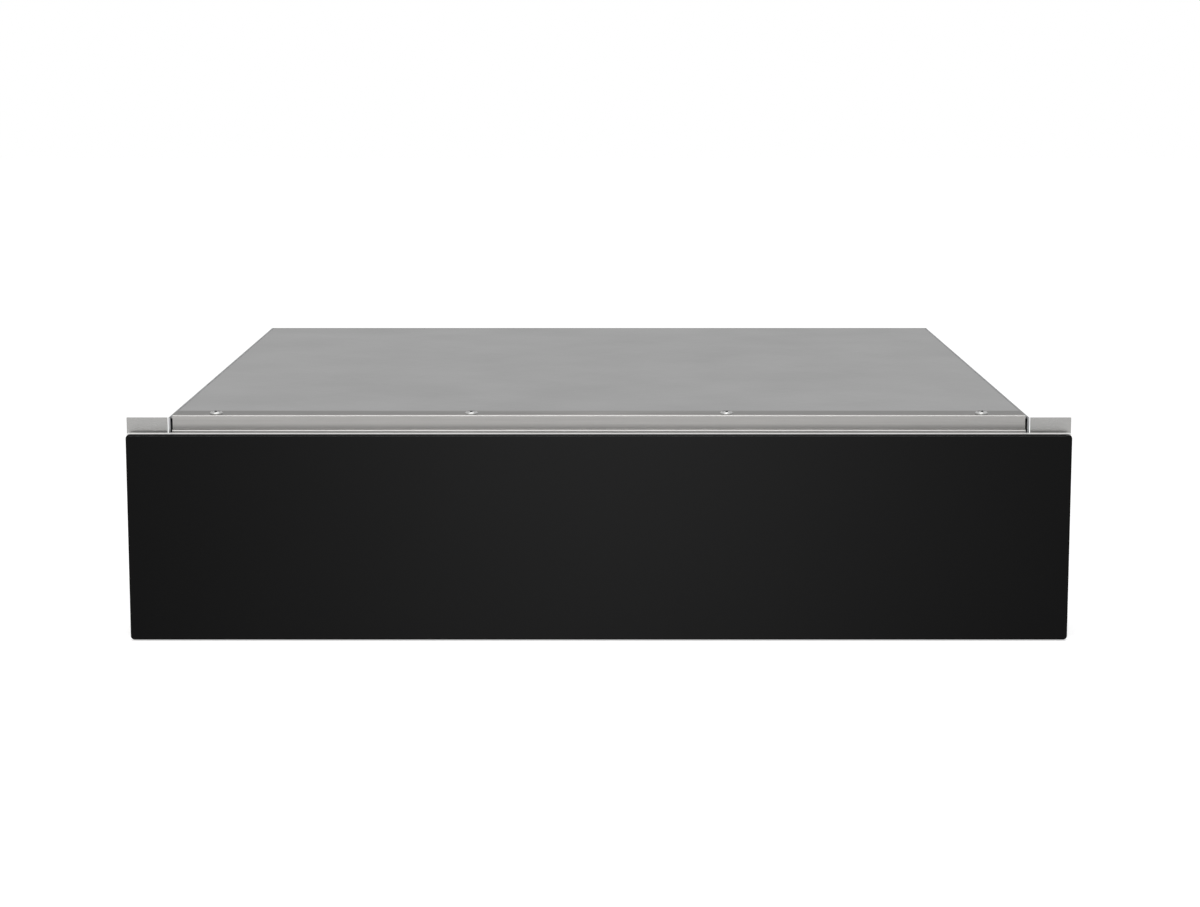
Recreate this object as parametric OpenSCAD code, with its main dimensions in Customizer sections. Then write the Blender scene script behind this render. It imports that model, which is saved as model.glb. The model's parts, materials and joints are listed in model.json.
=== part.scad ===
// Built-in warming drawer, 60 cm wide, shown closed.
// Frame: origin at the centre of the footprint on the floor, +Z up, the front faces -Y, +X to the right.
// "Depth" values are measured back from the visible face of the front panel.

/* [Front panel] */
// Width of the front panel
front_w = 595; // [580:1:640]
// Height of the front panel
front_h = 131.5; // [125:0.5:180]
// Air under the front panel
front_lift = 0.5; // [0.5:0.5:4]
// Thickness of the black facing
facing_t = 4.5; // [3.5:0.5:8]
// Corner radius of the facing
facing_corner_r = 2.4; // [1.6:0.1:6]
// Rounding of the facing's front edges
facing_edge_r = 0.8; // [0.4:0.1:1.2]
// Depth of the steel tray behind the facing
carrier_d = 5.5; // [5:0.5:12]
// Sheet thickness of the tray
carrier_t = 1; // [0.8:0.1:1.5]
// Thickness of the insulating board in the tray
board_t = 2.8; // [1.5:0.1:3]
// Gap between tray and case when closed, taken up when the front is pressed
front_gap = 4.4; // [4:0.1:8]
// Thickness of the rubber buffers behind the tray
buffer_t = 1.6; // [0.8:0.1:1.8]
// Diameter of the rubber buffers
buffer_w = 10; // [6:1:14]
// Distance of the rubber buffers from the side edges of the front panel
buffer_side_inset = 11.5; // [9:0.5:14]
// Distance of the rubber buffers from its top and bottom edges
buffer_edge_inset = 8; // [8:0.5:11]

/* [Case] */
// Width over the side walls
case_w = 545; // [520:1:556]
// Height of the case top above the floor
case_h = 141; // [138:1:190]
// Depth of the case behind its front edges
case_d = 543.6; // [500:1:600]
// Thickness of the side walls
wall_t = 1.2; // [0.8:0.1:2]
// Thickness of the top cover
cover_t = 1; // [0.8:0.1:1.5]
// Thickness of the base pan
base_t = 1.2; // [0.8:0.1:2]
// Thickness of the rear panel
rear_t = 1.2; // [0.8:0.1:2]
// Width of the folded lips that join the sheets
lip_w = 13; // [8:1:18]
// Free play between sheets that slide into each other
sheet_play = 0.2; // [0.1:0.05:0.4]
// Height of the rubber feet
foot_h = 2; // [1.5:0.5:10]
// Diameter of the rubber feet
foot_w = 18; // [12:1:30]
// Width of a ventilation slot
vent_w = 4; // [2:0.5:6]
// Length of a ventilation slot
vent_h = 26; // [12:1:28]
// Spacing of the ventilation slots
vent_pitch = 12; // [10:1:20]

/* [Mounting flanges] */
// How far each mounting flange reaches past the side wall
flange_reach = 26.5; // [20:0.5:40]
// Thickness of the flanges
flange_t = 1.2; // [1:0.1:2]
// Slit between the top of a flange and the side wall
flange_slit = 0.75; // [0.5:0.05:1.2]
// Height of that slit
slit_h = 21; // [10:1:30]
// Depth of the flange's leg along the side wall
leg_d = 26; // [16:1:40]
// Diameter of the four cabinet screw holes
cabinet_hole_w = 4.5; // [3:0.1:6]
// Distance of the cabinet screw holes from the flange's outer edge
cabinet_hole_inset = 13; // [8:0.5:16]
// Distance between the lower and upper cabinet screw holes
cabinet_rise = 90; // [60:1:100]

/* [Front rail] */
// Sheet thickness of the rail
rail_t = 1.5; // [0.8:0.1:1.6]
// Gap between each end of the rail and the side wall
rail_end_gap = 1.2; // [0.5:0.1:3]
// Setback of the rail's face behind the case's front edges
rail_setback = 1.6; // [1:0.1:6]
// Depth of the rail's top flange, which lies on the cover
rail_top_d = 20; // [14:1:30]
// Height of the rail's ledge above the floor, as a drop from the case top
ledge_drop = 7.6; // [6:0.1:12]
// How far the ledge comes forward
ledge_d = 2.6; // [2.4:0.1:3.4]
// Height of the lip below the ledge
rail_lip_h = 9; // [5:0.5:14]
// Outer radius of the rail's bends
bend_r = 0.9; // [0.4:0.1:1]
// Inner radius of the rail's bends
bend_inner_r = 0.3; // [0.1:0.1:0.3]
// Distance of the outer rail screws from the ends of the rail
rail_screw_inset = 27; // [15:0.1:60]
// Number of rail screws
rail_screws_n = 4; // [3:1:6]

/* [Screws] */
// Head diameter of the case screws
screw_head_w = 8; // [6:0.5:9]
// Head height of the case screws
screw_head_h = 1.4; // [1:0.1:2]
// Head height of the rail screws
rail_head_h = 2; // [1:0.1:2.4]
// Thread diameter of the case screws
screw_w = 3.5; // [3:0.1:4]
// Thread length of the case screws
screw_len = 5; // [4:0.5:8]

/* [Drawer box] */
// Sheet thickness of the drawer box
box_t = 1; // [0.8:0.1:1.5]
// Space under the drawer floor
under_floor = 18.8; // [16:0.1:30]
// Air between the drawer box and the rail's lip
box_clear = 12.4; // [11:0.1:20]
// Space behind the drawer box, for the motor and the lead
rear_bay = 58; // [55:1:80]
// Width of the rolled rim on the drawer walls
rim_w = 6; // [3:0.5:10]
// Thickness of the anti-slip mat
mat_t = 2; // [1:0.5:4]
// Margin around the mat
mat_margin = 3; // [1:0.5:10]
// Spacing of the ribs on the mat
mat_rib_pitch = 12; // [8:1:24]

/* [Slides] */
// Setback of the slides behind the mounting flanges
slide_setback = 5.6; // [2:0.1:12]
// Space for a slide between side wall and drawer box
slide_space = 13; // [12.7:0.1:16]
// Height of a slide
slide_h = 45; // [40:1:50]
// Sheet thickness of the slide members
slide_t = 1.2; // [1:0.1:1.4]
// Diameter of the bearing balls
ball_w = 2.9; // [2.5:0.1:3.2]
// Running clearance between slide parts
slide_play = 0.3; // [0.25:0.05:0.4]
// Thickness of the ball cages
cage_t = 0.8; // [0.6:0.1:0.9]
// Length of a ball cage
cage_len = 240; // [150:1:250]
// Balls in each row of a cage
balls_n = 9; // [5:1:12]

/* [Controls] */
// Depth of the control housing behind the drawer front
control_d = 47; // [42:1:70]
// Drop of the control panel below the drawer's rim
fascia_drop = 4; // [2:0.5:8]
// Diameter of the thermostat knob
knob_w = 32; // [24:1:38]
// Height of the thermostat knob
knob_h = 9.5; // [8:0.5:12]
// Air under the knob
knob_air = 0.6; // [0.4:0.1:1.5]
// Diameter of the thermostat shaft
shaft_w = 6; // [5:0.5:8]
// Radial running clearance of shafts and pins
shaft_play = 0.05; // [0.02:0.01:0.09]
// Width of the thermostat body
thermostat_w = 34; // [28:1:36]
// Length of the rocker
rocker_len = 19; // [16:0.5:24]
// Width of the rocker
rocker_w = 12; // [9:0.5:16]
// Tilt of the rocker to each side
rocker_tilt = 7; // [4:1:10]
// Diameter of the pilot lamp's lens
lamp_w = 8; // [5:0.5:12]
// Distance of the knob from the drawer's right wall
knob_inset = 79.3; // [58:0.1:136]
// Distance between the knob and the rocker
rocker_pitch = 50; // [42:1:70]
// Distance between the rocker and the pilot lamp
lamp_pitch = 30; // [24:1:50]

/* [Heater and fan] */
// Depth of the heater bay inside the drawer box
heater_bay = 69; // [66:1:90]
// Width of a slot in the heater guard
guard_slot_w = 4; // [2:0.5:6]
// Spacing of the slots in the heater guard
guard_pitch = 10; // [8:1:14]
// Diameter of the heating rod
rod_w = 6.5; // [5:0.5:8.5]
// Length of the heating rod's straight runs
rod_run = 260; // [200:1:300]
// Distance between the two runs
rod_rise = 45; // [36:1:50]
// Diameter of the fan wheel
fan_w = 70; // [50:1:74]
// Depth of the fan wheel
fan_d = 22; // [14:1:24]
// Number of fan blades
blades_n = 14; // [8:1:20]
// Diameter of the motor shaft
motor_shaft_w = 4; // [3:0.5:6]
// Width of the fan motor
motor_w = 52; // [40:1:58]
// Depth of the fan motor
motor_d = 34; // [28:1:40]
// Half width of the fan baffle
baffle_half_w = 118; // [60:1:122]

/* [Latches, lead and inlet] */
// Distance of each touch latch from the middle
latch_x = 105; // [70:1:150]
// Width and height of a latch body
latch_w = 16; // [14:1:24]
// Diameter of the latch plunger
plunger_w = 6; // [4:0.5:8]
// Distance between latch plunger and striker when closed
latch_gap = 3.3; // [2.8:0.1:4]
// Diameter of the trailing lead's curls
curl_w = 10; // [8:0.5:12]
// Diameter of the lead and the wiring
wire_w = 5; // [4:0.5:6]
// Distance of the cable inlet from the outside of the left side wall
inlet_inset = 72.5; // [66:0.5:90]
// Height of the cable inlet above the base pan
inlet_rise = 17; // [14:1:24]
// Diameter of the mains cable's hole
cable_w = 8.4; // [6:0.1:10]

/* [Hidden] */
$fn = 48;
cut = 1;             // how far a cut runs past a face
recess_w = 0.9;      // width of a screw's cross recess
recess_h = 0.8;      // depth of a screw's cross recess

// Depths, measured back from the face of the front panel
carrier_back = facing_t + carrier_d;
flange_at = carrier_back + front_gap;
case_back = flange_at + case_d;
total_d = case_back + screw_head_h;
front_y = -total_d / 2;
rail_at = flange_at + rail_setback;
lip_at = rail_at - ledge_d;
rear_at = case_back - cover_t - rear_t;
rail_reach = rail_t + bend_inner_r;             // from where a bend's outer faces would meet to its flat
box_front = carrier_back;
box_back = case_back - rear_bay;
slide_at = flange_at + slide_setback;
slide_len = box_back - slide_at;
guard_at = box_back - heater_bay;
control_back = box_front + control_d;

// Heights above the floor
front_mid = front_lift + front_h / 2;
base_top = foot_h + base_t;
cover_under = case_h - cover_t;
rail_top = case_h + rail_t;
ledge_top = case_h - ledge_drop;
lip_bottom = ledge_top - rail_lip_h;
floor_under = base_top + under_floor;
floor_top = floor_under + box_t;
box_top = lip_bottom - box_clear;
box_mid = (floor_under + box_top) / 2;
fascia_top = box_top - fascia_drop;
sill_h = 9.8;
sill_air = 2;
box_skirt = base_top + sill_h + sill_air;

// Widths, measured from the middle
wall_in = case_w / 2 - wall_t;
rail_half = wall_in - rail_end_gap;
box_half = wall_in - slide_space;
box_in = box_half - box_t;
flange_in = case_w / 2 + flange_slit;
flange_out = case_w / 2 + flange_reach;
leg_out = case_w / 2 + flange_t;
cabinet_hole_x = flange_out - cabinet_hole_inset;
inlet_x = case_w / 2 - inlet_inset;
knob_x = box_in - knob_inset;
rocker_x = knob_x - rocker_pitch;
lamp_x = rocker_x - lamp_pitch;

// ---------- shared shapes ----------

function at(depth) = front_y + depth;

// A box between two widths, two depths and two heights.
module block(x, d, z) {
  translate([x[0], at(d[0]), z[0]]) cube([x[1] - x[0], d[1] - d[0], z[1] - z[0]]);
}

// A round bar along Y between two depths.
module y_bar(x, z, w, d) {
  translate([x, at(d[1]), z]) rotate([90, 0, 0]) cylinder(d = w, h = d[1] - d[0]);
}

// A round bar along X between two widths.
module x_bar(depth, z, w, x) {
  translate([x[0], at(depth), z]) rotate([0, 90, 0]) cylinder(d = w, h = x[1] - x[0]);
}

// A round bar along Z between two heights.
module z_bar(x, depth, w, z) {
  translate([x, at(depth), z[0]]) cylinder(d = w, h = z[1] - z[0]);
}

// A depth-height outline drawn out along X, centred on the middle.
module x_prism(len) {
  translate([-len / 2, front_y, 0]) rotate([90, 0, 90]) linear_extrude(len) children();
}

// A width-height outline drawn out along Y between two depths.
module y_prism(d) {
  translate([0, at(d[1]), 0]) rotate([90, 0, 0]) linear_extrude(d[1] - d[0]) children();
}

module left_of() {
  mirror([1, 0, 0]) children();
}

module both_sides() {
  children();
  left_of() children();
}

module rounded_rect(w, h, r) {
  square([w - 2 * r, h], center = true);
  square([w, h - 2 * r], center = true);
  for (sx = [-1, 1], sz = [-1, 1]) translate([sx * (w / 2 - r), sz * (h / 2 - r)]) circle(r);
}

// The corner of a bent sheet, where its outer faces would meet; towards is the quadrant that it fills.
module bend(corner, t, r_out, r_in, towards) {
  reach = t + r_in;
  translate(corner) scale([towards[0], towards[1]]) difference() {
    square(reach);
    difference() {
      translate([-cut, -cut]) square(r_out + cut);
      translate([r_out, r_out]) circle(r_out);
    }
    translate([reach, reach]) circle(r_in);
  }
}

// A quarter turn of round bar in the plane of its children's frame: from +X to +Y around the origin.
module bar_turn(r, w, angle = 90) {
  rotate_extrude(angle = angle) translate([r, 0]) circle(d = w);
}

// A low domed screw head with a cross recess, on its thread; the seat is at z = 0.
module dome_screw(len = screw_len, head_h = screw_head_h) {
  head_r = screw_head_w / 2;
  dome_r = (pow(head_r, 2) + pow(head_h, 2)) / (2 * head_h);
  difference() {
    intersection() {
      translate([0, 0, head_h - dome_r]) sphere(dome_r);
      cylinder(r = head_r, h = head_h);
    }
    for (a = [45, 135]) rotate(a) {
      translate([-head_r / 2, -recess_w / 2, head_h - recess_h])
        cube([head_r, recess_w, recess_h + cut]);
    }
  }
  translate([0, 0, -len]) cylinder(d = screw_w, h = len);
}

// A flat rivet head of diameter w and height h on a stem; the seat is at z = 0.
module rivet(w, h, len) {
  cylinder(d = w, h = h);
  translate([0, 0, -len]) cylinder(d = w / 2, h = len);
}

// ---------- case ----------

foot_side_inset = 32;
foot_x = case_w / 2 - foot_side_inset;
foot_inset = 40;
foot_places = [for (sx = [-1, 1], d = [flange_at + foot_inset, case_back - foot_inset]) [sx * foot_x, d]];
foot_stem_w = 5;
foot_barb_w = 7;
foot_barb_h = 1.2;
pan_lip_h = 11;

module base_pan() color("#b9bbbc") {
  difference() {
    block([-case_w / 2, case_w / 2], [flange_at, rear_at + rear_t], [foot_h, base_top]);
    for (p = foot_places) z_bar(p[0], p[1], foot_stem_w, [foot_h - cut, base_top + cut]);
  }
  both_sides() block([wall_in - base_t, wall_in], [flange_at + leg_d, rear_at - sheet_play],
    [base_top, base_top + pan_lip_h]);
}

module feet() color("#1c1c1c") for (p = foot_places) {
  z_bar(p[0], p[1], foot_w, [0, foot_h]);
  z_bar(p[0], p[1], foot_stem_w, [foot_h, base_top]);
  z_bar(p[0], p[1], foot_barb_w, [base_top, base_top + foot_barb_h]);
}

fixing_shares = [0.12, 0.5, 0.88];
slide_screw_places = [for (f = fixing_shares) slide_at + f * slide_len];
leg_rivet_places = [for (f = fixing_shares) base_top + f * (case_h - slit_h - base_top)];
leg_rivet_share = 0.65;
leg_rivet_at = flange_at + leg_d * leg_rivet_share;
side_vents_n = 7;
side_vents_inset = 30;
side_vent_rise = 6;

module side_panel() color("#b3b5b6") {
  difference() {
    union() {
      block([wall_in, case_w / 2], [flange_at, rear_at], [base_top, case_h]);
      block([wall_in - lip_w, wall_in], [rail_at + rail_top_d, rear_at],
        [cover_under - wall_t, cover_under]);
    }
    for (d = slide_screw_places) x_bar(d, box_mid, screw_w, [wall_in - cut, case_w / 2 + cut]);
    for (z = leg_rivet_places) x_bar(leg_rivet_at, z, rivet_w / 2, [wall_in - cut, case_w / 2 + cut]);
    for (i = [0:side_vents_n - 1]) vent_slot(rear_at - side_vents_inset - i * vent_pitch);
  }
}

// One upright slot through the right side wall, above the slide.
module vent_slot(depth) {
  low = box_mid + slide_h / 2 + side_vent_rise + vent_w / 2;
  high = low + vent_h - vent_w;
  block([wall_in - cut, case_w / 2 + cut], [depth - vent_w / 2, depth + vent_w / 2], [low, high]);
  for (z = [low, high]) x_bar(depth, z, vent_w, [wall_in - cut, case_w / 2 + cut]);
}

rear_vent_half = 150;
gland_body_w = 15;
gland_head_w = 21;
rear_vent_rise = 4;
rear_screw_inset = 22;
rear_screw_drop = 7.5;
rear_screw_x = case_w / 2 - rear_screw_inset;
rear_screw_z = case_h - rear_screw_drop;
latch_fix_w = 3;

module rear_panel() color("#a9abac") {
  vent_low = box_mid + slide_h / 2 + rear_vent_rise;
  difference() {
    union() {
      block([-case_w / 2, case_w / 2], [rear_at, rear_at + rear_t], [base_top, cover_under]);
      block([-wall_in + lip_w + sheet_play, wall_in - lip_w - sheet_play],
        [rear_at - lip_w, rear_at], [cover_under - rear_t, cover_under]);
    }
    for (x = [-rear_vent_half:vent_pitch:rear_vent_half])
      block([x - vent_w / 2, x + vent_w / 2], [rear_at - cut, case_back], [vent_low, vent_low + vent_h]);
    y_bar(-inlet_x, base_top + inlet_rise, gland_body_w + 2 * sheet_play, [rear_at - cut, case_back]);
    both_sides() y_bar(rear_screw_x, rear_screw_z, screw_w, [rear_at - cut, case_back]);
    both_sides() y_bar(latch_x, box_mid - latch_w, latch_fix_w, [rear_at - cut, case_back]);
  }
}

module top_cover() color("#a6a6a6") {
  half = wall_in - sheet_play;
  difference() {
    union() {
      block([-half, half], [rail_at + rail_reach + sheet_play, rear_at], [cover_under, case_h]);
      block([-case_w / 2, case_w / 2], [rear_at, case_back], [cover_under, case_h]);
      block([-case_w / 2, case_w / 2], [case_back - cover_t, case_back], [case_h - lip_w, case_h]);
    }
    for (p = rail_screw_places) z_bar(p, rail_screw_at, screw_w, [cover_under - cut, case_h + cut]);
    both_sides() y_bar(rear_screw_x, rear_screw_z, screw_w, [case_back - cover_t - cut, case_back + cut]);
  }
}

// Two screws hold the cover's rear flange, seen from behind.
module case_screws() color("#c9c9c6") both_sides() {
  translate([rear_screw_x, at(case_back), rear_screw_z]) rotate([-90, 0, 0]) dome_screw();
}

head_margin = 0.2;
rail_screw_at = rail_at + rail_reach + screw_head_w / 2 + head_margin;
rail_screw_span = 2 * (rail_half - rail_screw_inset);
rail_screw_places = [for (i = [0:rail_screws_n - 1])
  -rail_screw_span / 2 + i * rail_screw_span / (rail_screws_n - 1)];

// Depth-height section of the rail: top flange, face, ledge and lip, joined by round bends.
module rail_section() {
  heel = [rail_at + rail_t, ledge_top - rail_t];
  translate([rail_at + rail_reach, rail_top - rail_t]) square([rail_top_d - rail_reach, rail_t]);
  bend([rail_at, rail_top], rail_t, bend_r, bend_inner_r, [1, -1]);
  translate([rail_at, heel[1] + rail_reach]) square([rail_t, rail_top - heel[1] - 2 * rail_reach]);
  bend(heel, rail_t, bend_r, bend_inner_r, [-1, 1]);
  translate([lip_at + rail_reach, heel[1]]) square([heel[0] - lip_at - 2 * rail_reach, rail_t]);
  bend([lip_at, ledge_top], rail_t, bend_r, bend_inner_r, [1, -1]);
  translate([lip_at, lip_bottom]) square([rail_t, ledge_top - rail_reach - lip_bottom]);
}

module front_rail() color("#c4c3c0") difference() {
  x_prism(2 * rail_half) rail_section();
  for (p = rail_screw_places) z_bar(p, rail_screw_at, screw_w, [case_h - cut, rail_top + cut]);
}

module rail_screws() color("#cfcfcd") for (p = rail_screw_places) {
  translate([p, at(rail_screw_at), rail_top]) dome_screw(head_h = rail_head_h);
}

// An angle along the front bottom edge, between the side walls.
module lower_sill() color("#b3b5b6") {
  half = wall_in - sheet_play;
  block([-half, half], [flange_at, flange_at + base_t], [base_top, base_top + sill_h]);
  block([-half, half], [flange_at + base_t, flange_at + lip_w + base_t],
    [base_top + sill_h - base_t, base_top + sill_h]);
}

cabinet_holes = [for (s = [-1, 1]) case_h / 2 + s * cabinet_rise / 2];
rivet_w = 6;
rivet_h = 0.9;

// The right flange: a plate that bears on the cabinet's side, and a leg along the side wall.
module flange() color("#bdbbb8") difference() {
  union() {
    block([flange_in, flange_out], [flange_at, flange_at + flange_t], [base_top, case_h]);
    block([case_w / 2, leg_out], [flange_at, flange_at + leg_d], [base_top, case_h - slit_h]);
  }
  for (z = cabinet_holes)
    y_bar(cabinet_hole_x, z, cabinet_hole_w, [flange_at - cut, flange_at + flange_t + cut]);
  for (z = leg_rivet_places) x_bar(leg_rivet_at, z, rivet_w / 2, [case_w / 2 - cut, leg_out + cut]);
}

module flange_rivets() color("#c9c9c6") both_sides() for (z = leg_rivet_places) {
  translate([leg_out, at(leg_rivet_at), z]) rotate([0, 90, 0]) rivet(rivet_w, rivet_h, flange_t + wall_t);
}

// ---------- slides ----------
// Sections are drawn for the right side: u runs inwards from the side wall, v up from the slide's middle.

race_gap = ball_w + 2 * slide_play;             // between two races with a ball between them
outer_v = slide_h / 2 - slide_t;                // inside of the outer member
middle_v = outer_v - race_gap;                  // outside of the middle member
middle_in_v = middle_v - slide_t;
inner_v = middle_in_v - race_gap;               // outside of the inner member
outer_ball_v = outer_v - race_gap / 2;
inner_ball_v = middle_in_v - race_gap / 2;
outer_lip_u = 8.5;
outer_cage_u = slide_t + slide_play;
middle_u = outer_cage_u + cage_t + slide_play;
inner_cage_u = middle_u + slide_t + slide_play;
inner_u = inner_cage_u + cage_t + slide_play;
middle_lip_u = 9.6;
outer_ball_u = 5;
inner_ball_u = 7.4;

// A channel: web from u0 to u0 + t, and two lips out to u1 whose outer faces are v high.
module channel(u0, u1, v, t, web_at = 0) {
  translate([web_at == 0 ? u0 : u1 - t, -v]) square([t, 2 * v]);
  for (s = [-1, 1]) translate([u0, s > 0 ? v - t : -v]) square([u1 - u0, t]);
}

module slide_prism(d) {
  y_prism(d) translate([wall_in, box_mid]) mirror([1, 0]) children();
}

module slide_outer() color("#c2c6c9") difference() {
  slide_prism([slide_at, slide_at + slide_len]) {
    channel(0, outer_lip_u, slide_h / 2, slide_t);
    for (s = [-1, 1]) translate([outer_lip_u - slide_t, s > 0 ? outer_v - slide_t : -outer_v])
      square([slide_t, slide_t]);
  }
  for (d = slide_screw_places) x_bar(d, box_mid, screw_w, [wall_in - slide_t - cut, wall_in + cut]);
}

module slide_middle() color("#cdd1d4")
  slide_prism([slide_at, slide_at + slide_len])
    channel(middle_u, middle_lip_u, middle_v, slide_t);

module slide_inner() color("#c2c6c9") difference() {
  slide_prism([slide_at, slide_at + slide_len]) channel(inner_u, slide_space, inner_v, slide_t, 1);
  for (d = slide_screw_places)
    x_bar(d, box_mid, rivet_w / 2, [box_half - cut, box_half + slide_t + cut]);
}

// A cage: a strip with two arms that hold a row of balls each.
module ball_cage(u, ball_u, ball_v) color("#d8b24a") {
  start = slide_at + (slide_len - cage_len) / 2;
  pitch = cage_len / balls_n;
  slide_prism([start, start + cage_len]) {
    translate([u, -ball_v]) square([cage_t, 2 * ball_v]);
    for (s = [-1, 1]) translate([u, s * ball_v - cage_t / 2])
      square([ball_u + ball_w / 2 + slide_play - u, cage_t]);
  }
  for (i = [0:balls_n - 1], s = [-1, 1])
    translate([wall_in - ball_u, at(start + (i + 0.5) * pitch), box_mid + s * ball_v])
      sphere(d = ball_w);
}

module outer_cage() ball_cage(outer_cage_u, outer_ball_u, outer_ball_v);
module inner_cage() ball_cage(inner_cage_u, inner_ball_u, inner_ball_v);

// Screws through the side walls into the outer members, heads outside.
module slide_screws() color("#c9c9c6") both_sides() for (d = slide_screw_places) {
  translate([case_w / 2, at(d), box_mid]) rotate([0, 90, 0]) dome_screw(wall_t + slide_t);
}

// Rivets through the drawer walls into the inner members, heads inside the drawer.
module slide_rivets() color("#c9c9c6") both_sides() for (d = slide_screw_places) {
  translate([box_in, at(d), box_mid]) rotate([0, -90, 0]) rivet(rivet_w, rivet_h, box_t + slide_t);
}

// ---------- drawer front ----------

module front_facing() color("#1f1f1f") {
  core_r = facing_corner_r - facing_edge_r;
  translate([0, at(facing_t), front_mid]) rotate([90, 0, 0]) {
    linear_extrude(facing_t - facing_edge_r) rounded_rect(front_w, front_h, facing_corner_r);
    linear_extrude(facing_t)
      rounded_rect(front_w - 2 * facing_edge_r, front_h - 2 * facing_edge_r, core_r);
    translate([0, 0, facing_t - facing_edge_r]) {
      for (s = [-1, 1]) {
        translate([facing_corner_r - front_w / 2, s * (front_h / 2 - facing_edge_r), 0])
          rotate([0, 90, 0]) cylinder(r = facing_edge_r, h = front_w - 2 * facing_corner_r);
        translate([s * (front_w / 2 - facing_edge_r), front_h / 2 - facing_corner_r, 0])
          rotate([90, 0, 0]) cylinder(r = facing_edge_r, h = front_h - 2 * facing_corner_r);
      }
      for (sx = [-1, 1], sz = [-1, 1])
        translate([sx * (front_w / 2 - facing_corner_r), sz * (front_h / 2 - facing_corner_r), 0])
          rotate_extrude() translate([core_r, 0]) circle(facing_edge_r);
    }
  }
}

front_screw_inset = 60;
front_screw_shares = [0.2, 0.8];
front_screw_tip = 0.4;
front_screw_x = box_half - front_screw_inset;
front_screw_places = [for (sx = [-1, 1], f = front_screw_shares)
  [sx * front_screw_x, floor_top + f * (fascia_top - floor_top)]];

module front_carrier() color("#c6c6c4") difference() {
  block([-front_w / 2, front_w / 2], [facing_t, carrier_back], [front_lift, front_lift + front_h]);
  block([-front_w / 2 + carrier_t, front_w / 2 - carrier_t], [facing_t - cut, carrier_back - carrier_t],
    [front_lift + carrier_t, front_lift + front_h - carrier_t]);
  for (p = front_screw_places) y_bar(p[0], p[1], screw_w, [facing_t, carrier_back + cut]);
}

module front_insulation() color("#cfc9b4") {
  edge = carrier_t + sheet_play;
  block([-front_w / 2 + edge, front_w / 2 - edge], [facing_t, facing_t + board_t],
    [front_lift + edge, front_lift + front_h - edge]);
}

// Screws from inside the drawer's front wall into the tray.
module front_screws() color("#c9c9c6") for (p = front_screw_places) {
  translate([p[0], at(box_front + box_t), p[1]]) rotate([-90, 0, 0])
    dome_screw(box_t + carrier_t + front_screw_tip);
}

// Rubber buffers at the four corners of the tray's back, in front of the flanges.
module front_buffers() color("#161616") both_sides() for (s = [-1, 1]) {
  y_bar(front_w / 2 - buffer_side_inset, front_mid + s * (front_h / 2 - buffer_edge_inset), buffer_w,
    [carrier_back, carrier_back + buffer_t]);
}

// ---------- drawer box ----------

wiring_inset = 28;
wiring_air = 1.4;
wiring_setback = 20;
floor_hole_play = 6;
wire_play = 0.4;
wiring_x = box_in - wiring_inset;
wiring_z = floor_under - wire_w / 2 - wiring_air;
wiring_at = box_front + box_t + wiring_setback;

module drawer_floor() color("#c8c8c6") difference() {
  block([-box_in, box_in], [box_front + box_t, box_back - box_t], [floor_under, floor_top]);
  z_bar(wiring_x, wiring_at, wire_w + floor_hole_play, [floor_under - cut, floor_top + cut]);
}

// The right wall of the box, with a rim at the top and a lip under the floor.
module drawer_wall() color("#c8c8c6") difference() {
  union() {
    block([box_in, box_half], [box_front + box_t, box_back - box_t], [floor_under - box_t, box_top]);
    block([box_in - rim_w, box_in], [control_back, guard_at - sheet_play], [box_top - box_t, box_top]);
    block([box_in - lip_w, box_in], [box_front + box_t, box_back - box_t],
      [floor_under - box_t, floor_under]);
  }
  for (d = slide_screw_places) x_bar(d, box_mid, rivet_w / 2, [box_in - cut, box_half + cut]);
}

module drawer_front_wall() color("#c8c8c6") difference() {
  block([-box_half, box_half], [box_front, box_front + box_t], [box_skirt, box_top]);
  for (p = front_screw_places) y_bar(p[0], p[1], screw_w, [box_front - cut, box_front + box_t + cut]);
}

rod_bend_r = 12;
rod_leg_x = -rod_run / 2 - rod_bend_r;
rod_places = [for (s = [-1, 1]) box_mid + s * rod_rise / 2];
rod_play = 0.5;
rod_hole_w = rod_w + 2 * rod_play;
motor_hole_play = 3;

module drawer_rear_wall() color("#c8c8c6") difference() {
  block([-box_half, box_half], [box_back - box_t, box_back], [box_skirt, box_top]);
  y_bar(0, box_mid, motor_shaft_w + 2 * motor_hole_play, [box_back - box_t - cut, box_back + cut]);
  for (z = rod_places) y_bar(rod_leg_x, z, rod_hole_w, [box_back - box_t - cut, box_back + cut]);
  y_bar(wiring_x, wiring_z, wire_w + wire_play, [box_back - box_t - cut, box_back + cut]);
}

mat_rib_w = 3;
mat_base_share = 0.6;

// A rubber mat with low ribs across it.
module anti_slip_mat() color("#3a3d3f") {
  x_half = box_in - mat_margin;
  start = control_back + mat_margin;
  end = guard_at - mat_margin;
  mid = floor_top + mat_t * mat_base_share;
  block([-x_half, x_half], [start, end], [floor_top, mid]);
  for (d = [start + mat_rib_w:mat_rib_pitch:end - 2 * mat_rib_w])
    block([-x_half + mat_rib_w, x_half - mat_rib_w], [d, d + mat_rib_w], [mid, floor_top + mat_t]);
}

// ---------- controls ----------

control_mid = box_front + box_t + (control_d - 2 * box_t) / 2;
fascia_under = fascia_top - box_t;
bezel = 2;
bush_hole_play = 2;

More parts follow.
